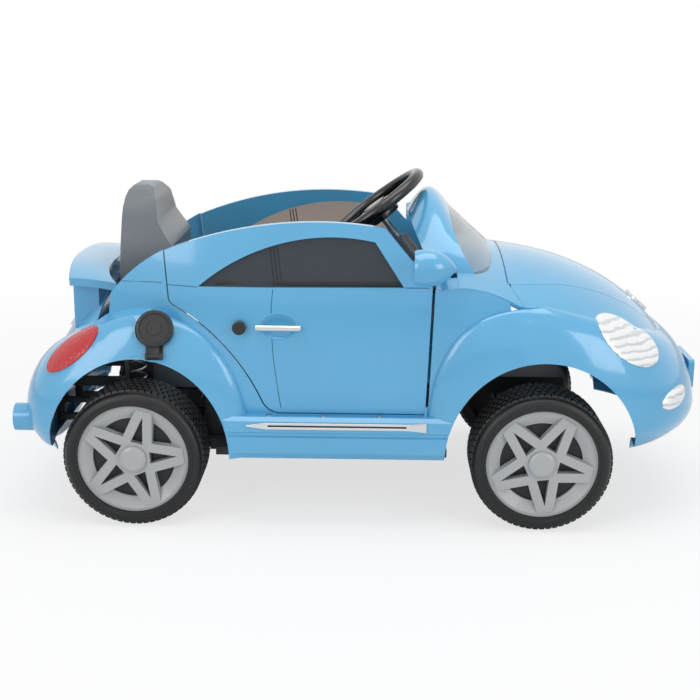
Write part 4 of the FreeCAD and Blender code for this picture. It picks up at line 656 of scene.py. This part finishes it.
# Charging cap: ribbed edge, stepped face, strap and hinge barrel.
PORT_SEAT = Vector((-329, -247.32, 327.12)) * MM
PORT_TILT = math.radians(22)
CAP_RADIUS = 30
CAP_RIBS = 48
CAP_RIB_HEIGHT = 0.9
CAP_STEPS = ((1.6, 0.9), (3.4, 0), (0.8, -1.6), (11, 0), (0.8, 0.8))  # inset and rise of each ring
STRAP_SIZE = (18, 24, 4)
STRAP_PLACE = (0, -33, 7.5)


def charging_cap():
    clear_selection()
    bpy.ops.mesh.primitive_cylinder_add(vertices=2 * CAP_RIBS, radius=(CAP_RADIUS - CAP_RIB_HEIGHT) * MM,
                                        depth=9 * MM, location=(0, 0, 8.5 * MM))
    disc = bpy.context.object
    put(disc, Matrix.Identity(4))
    pick(disc, lambda centre, normal: abs(normal.z) < 0.1
         and round(math.atan2(centre.y, centre.x) * CAP_RIBS / math.pi - 0.5) % 2 == 0)
    bpy.ops.mesh.inset(thickness=0.35 * MM, depth=CAP_RIB_HEIGHT * MM, use_individual=True)
    done()
    pick(disc, lambda centre, normal: normal.z > 0.9 and centre.xy.length < 1 * MM)
    for thickness, depth in CAP_STEPS:
        bpy.ops.mesh.inset(thickness=thickness * MM, depth=depth * MM)
    done()
    strap = block(STRAP_SIZE, STRAP_PLACE)
    pick(strap, lambda centre, normal: normal.z > 0.9)
    bpy.ops.mesh.inset(thickness=3 * MM, depth=-1 * MM)
    done()
    soften(strap, 0.8, 2, 35)
    bpy.ops.mesh.primitive_cylinder_add(vertices=32, radius=3.5 * MM, depth=STRAP_SIZE[0] * MM,
                                        location=(0, -44 * MM, 7 * MM), rotation=(0, QUARTER, 0))
    barrel = bpy.context.object
    put(barrel, Matrix.Identity(4))
    pick(barrel, lambda centre, normal: abs(normal.x) > 0.9)
    bpy.ops.mesh.inset(thickness=1 * MM, depth=0)
    bpy.ops.mesh.extrude_region_shrink_fatten(TRANSFORM_OT_shrink_fatten={"value": 4.4 * MM})
    done()
    return join("charging_cap", disc, strap, barrel)


cap = charging_cap()
smooth(cap, 35)
facing = Vector((0, -math.cos(PORT_TILT), math.sin(PORT_TILT)))
across = Vector((1, 0, 0))
put(cap, Matrix.Translation(PORT_SEAT) @ turned_to(across, facing.cross(across), facing))
wear(cap, FRAME_BLACK, "charge_cap", "black_plastic", "charge_cap")


# Lamps: an oval drawn down onto the panel round the lamp's opening, then raised ring by ring into a dome.
# Each: panel, centre, facing, long axis (left side), half length and half height.
HEADLIGHT = ("front_body", (418, 196, 304), (0.52, 0.72, 0.46), (0.72, -0.3, -0.6), 63, 43)
FOG_LAMP = ("front_bumper", (501, 180, 208), (0.72, 0.68, 0.12), (0.66, -0.7, 0.2), 38, 16)
# Share of the ring before and rise of each ring, from the panel to the top.
LAMP_RINGS = ((1.0, 2.5), (0.95, 1.5), (0.85, 2.0), (0.8, 1.5), (0.75, 1.0), (0.65, 0.6), (0.5, 0.3))
LAMP_START = 60 * MM  # height above the panel that the oval is drawn down from
LAMP_SINK = 1 * MM


def domed_lens(sign, panel, centre, facing, along, half_long, half_short):
    flipped = Vector((1, sign, 1))
    facing = (Vector(facing) * flipped).normalized()
    along = Vector(along) * flipped
    along = (along - facing * along.dot(facing)).normalized()
    turn = turned_to(along, facing.cross(along), facing)
    place = Matrix.Translation(Vector(centre) * flipped * MM) @ turn
    clear_selection()
    bpy.ops.mesh.primitive_circle_add(vertices=64, radius=1)
    lens = bpy.context.object
    lens.scale = (half_long * MM, half_short * MM, 1)
    put(lens, Matrix.Translation((0, 0, LAMP_START)))
    lens.matrix_world = place
    modify(lens, "SHRINKWRAP", target=nodes[panel], wrap_method="PROJECT", use_project_z=True,
           use_negative_direction=True, use_positive_direction=False, offset=-LAMP_SINK)
    rim = [place @ vertex.co for vertex in lens.data.vertices]
    middle = sum(rim, Vector()) / len(rim)
    put(lens, Matrix.Identity(4))
    bpy.ops.object.mode_set(mode="EDIT")
    bpy.ops.mesh.select_all(action="SELECT")
    for share, rise in LAMP_RINGS:
        bpy.ops.mesh.extrude_edges_move(TRANSFORM_OT_translate={"value": facing * rise * MM})
        middle = middle + facing * rise * MM
        bpy.ops.transform.resize(value=(share, share, share), center_override=middle)
    bpy.ops.mesh.merge(type="CENTER")
    bpy.ops.mesh.select_all(action="SELECT")
    bpy.ops.mesh.normals_make_consistent(inside=False)
    done()
    smooth(lens, 50)
    return lens


headlights = join("headlights", *[domed_lens(sign, *HEADLIGHT) for sign in SIDES.values()])
wear(headlights, LAMP_PAINTED_REFLECTION, "chassis", "clear_glazing", "headlight_lenses", "headlight_bowls")
fog_lamps = join("fog_lamps", *[domed_lens(sign, *FOG_LAMP) for sign in SIDES.values()])
wear(fog_lamps, LAMP_PAINTED_REFLECTION, "chassis", "clear_glazing", "fog_lenses")


# Coil springs: a wire section swept round and up.
SPRING_WIRE, SPRING_RADIUS, SPRING_TURNS = 2.2 * MM, 12 * MM, 7


def coil(node, side):
    low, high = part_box(node)
    x = (low.x + high.x) / 2
    clear_selection()
    bpy.ops.mesh.primitive_circle_add(vertices=12, radius=SPRING_WIRE,
                                      location=(SPRING_RADIUS, 0, SPRING_WIRE), rotation=(QUARTER, 0, 0))
    piece = bpy.context.object
    put(piece, Matrix.Identity(4))
    rise = high.z - low.z - 2 * SPRING_WIRE
    steps = 32 * SPRING_TURNS
    modify(piece, "SCREW", angle=math.tau * SPRING_TURNS, screw_offset=rise, steps=steps,
           render_steps=steps, use_merge_vertices=False)
    pick(piece, lambda centre, normal: True)
    bpy.ops.mesh.normals_make_consistent(inside=False)
    done()
    put(piece, Matrix.Translation((x, side * (high.y - SPRING_WIRE - SPRING_RADIUS), low.z)))
    smooth(piece, 50)
    return piece


springs = join("coil_springs", *[coil("springs", side) for side in SIDES.values()])
wear(springs, STEEL, "swing_arm", "steel", "springs")
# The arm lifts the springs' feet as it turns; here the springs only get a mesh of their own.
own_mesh(springs)

# Studio: pale floor, even sky and three soft lights.
clear_selection()
bpy.ops.mesh.primitive_plane_add(size=30)
floor = bpy.context.object
floor.name = "studio_floor"
pale = bpy.data.materials.new("studio_floor")
pale.use_nodes = True
tree = pale.node_tree
matt = tree.nodes["Principled BSDF"]
matt.inputs["Base Color"].default_value = linear("#f4f5f6")
matt.inputs["Roughness"].default_value = 0.9
glow = add_node(tree, "ShaderNodeEmission", {"Color": (1, 1, 1, 1), "Strength": 1.0})
ray = add_node(tree, "ShaderNodeLightPath")
spread = add_node(tree, "ShaderNodeTexCoord").outputs["Object"]
reach = add_node(tree, "ShaderNodeVectorMath", {0: spread}, operation="LENGTH")
fade = add_node(tree, "ShaderNodeMapRange",
                {"Value": reach.outputs["Value"], "From Min": 0.6, "From Max": 2.0,
                 "To Min": 0.7, "To Max": 1.0})
share = add_node(tree, "ShaderNodeMath", {0: ray.outputs["Is Camera Ray"], 1: fade.outputs["Result"]},
                 operation="MULTIPLY")
blend = add_node(tree, "ShaderNodeMixShader",
                 {0: share.outputs[0], 1: matt.outputs[0], 2: glow.outputs[0]})
tree.links.new(blend.outputs[0], tree.nodes["Material Output"].inputs["Surface"])
floor.data.materials.append(pale)

world = bpy.data.worlds.new("studio_sky")
bpy.context.scene.world = world
world.use_nodes = True
tree = world.node_tree
sky = tree.nodes["Background"]
sky.inputs["Color"].default_value = (1, 1, 1, 1)
ray = add_node(tree, "ShaderNodeLightPath")
through = add_node(tree, "ShaderNodeMath",
                   {0: ray.outputs["Is Glossy Ray"], 1: ray.outputs["Is Transmission Ray"]},
                   operation="MAXIMUM")
seen = add_node(tree, "ShaderNodeMath", {0: ray.outputs["Is Camera Ray"], 1: through.outputs[0]},
                operation="MAXIMUM")
level = add_node(tree, "ShaderNodeMapRange", {"Value": seen.outputs[0], "To Min": 0.5, "To Max": 1.0})
tree.links.new(level.outputs["Result"], sky.inputs["Strength"])


def soft_light(name, place, target, width, height, power):
    light = bpy.data.lights.new(name, "AREA")
    light.shape = "RECTANGLE"
    light.size = width
    light.size_y = height
    light.energy = power
    holder = bpy.data.objects.new(name, light)
    bpy.context.scene.collection.objects.link(holder)
    holder.location = place
    holder.rotation_euler = (Vector(target) - Vector(place)).to_track_quat("-Z", "Y").to_euler()


soft_light("overhead", (0.1, -0.3, 2.6), (0, 0, 0.3), 2.4, 1.6, 30)
soft_light("front_left", (-1.9, -2.4, 1.5), (0, 0, 0.25), 1.4, 1.6, 20)
soft_light("front_right", (2.2, -2.0, 1.3), (0, 0, 0.25), 1.2, 1.4, 16)

# Camera at the photograph's place.
EYE = Vector((0.01699, -2.1210, 0.7768))
TARGET = Vector((-0.02522, 0, 0.23426))
ROLL = math.radians(0.40)
SENSOR = 36.0
FOCAL_PIXELS = 1219.29
IMAGE_PIXELS = 700
camera_data = bpy.data.cameras.new("photo_view")
camera_data.sensor_width = SENSOR
camera_data.lens = FOCAL_PIXELS / IMAGE_PIXELS * SENSOR
camera = bpy.data.objects.new("photo_view", camera_data)
bpy.context.scene.collection.objects.link(camera)
ahead = (TARGET - EYE).normalized()
level_right = ahead.cross(Vector((0, 0, 1))).normalized()
level_up = level_right.cross(ahead)
right = level_right * math.cos(ROLL) + level_up * math.sin(ROLL)
above = level_up * math.cos(ROLL) - level_right * math.sin(ROLL)
camera.matrix_world = Matrix.Translation(EYE) @ turned_to(right, above, -ahead)
bpy.context.scene.camera = camera
bpy.context.scene.view_settings.view_transform = "Standard"
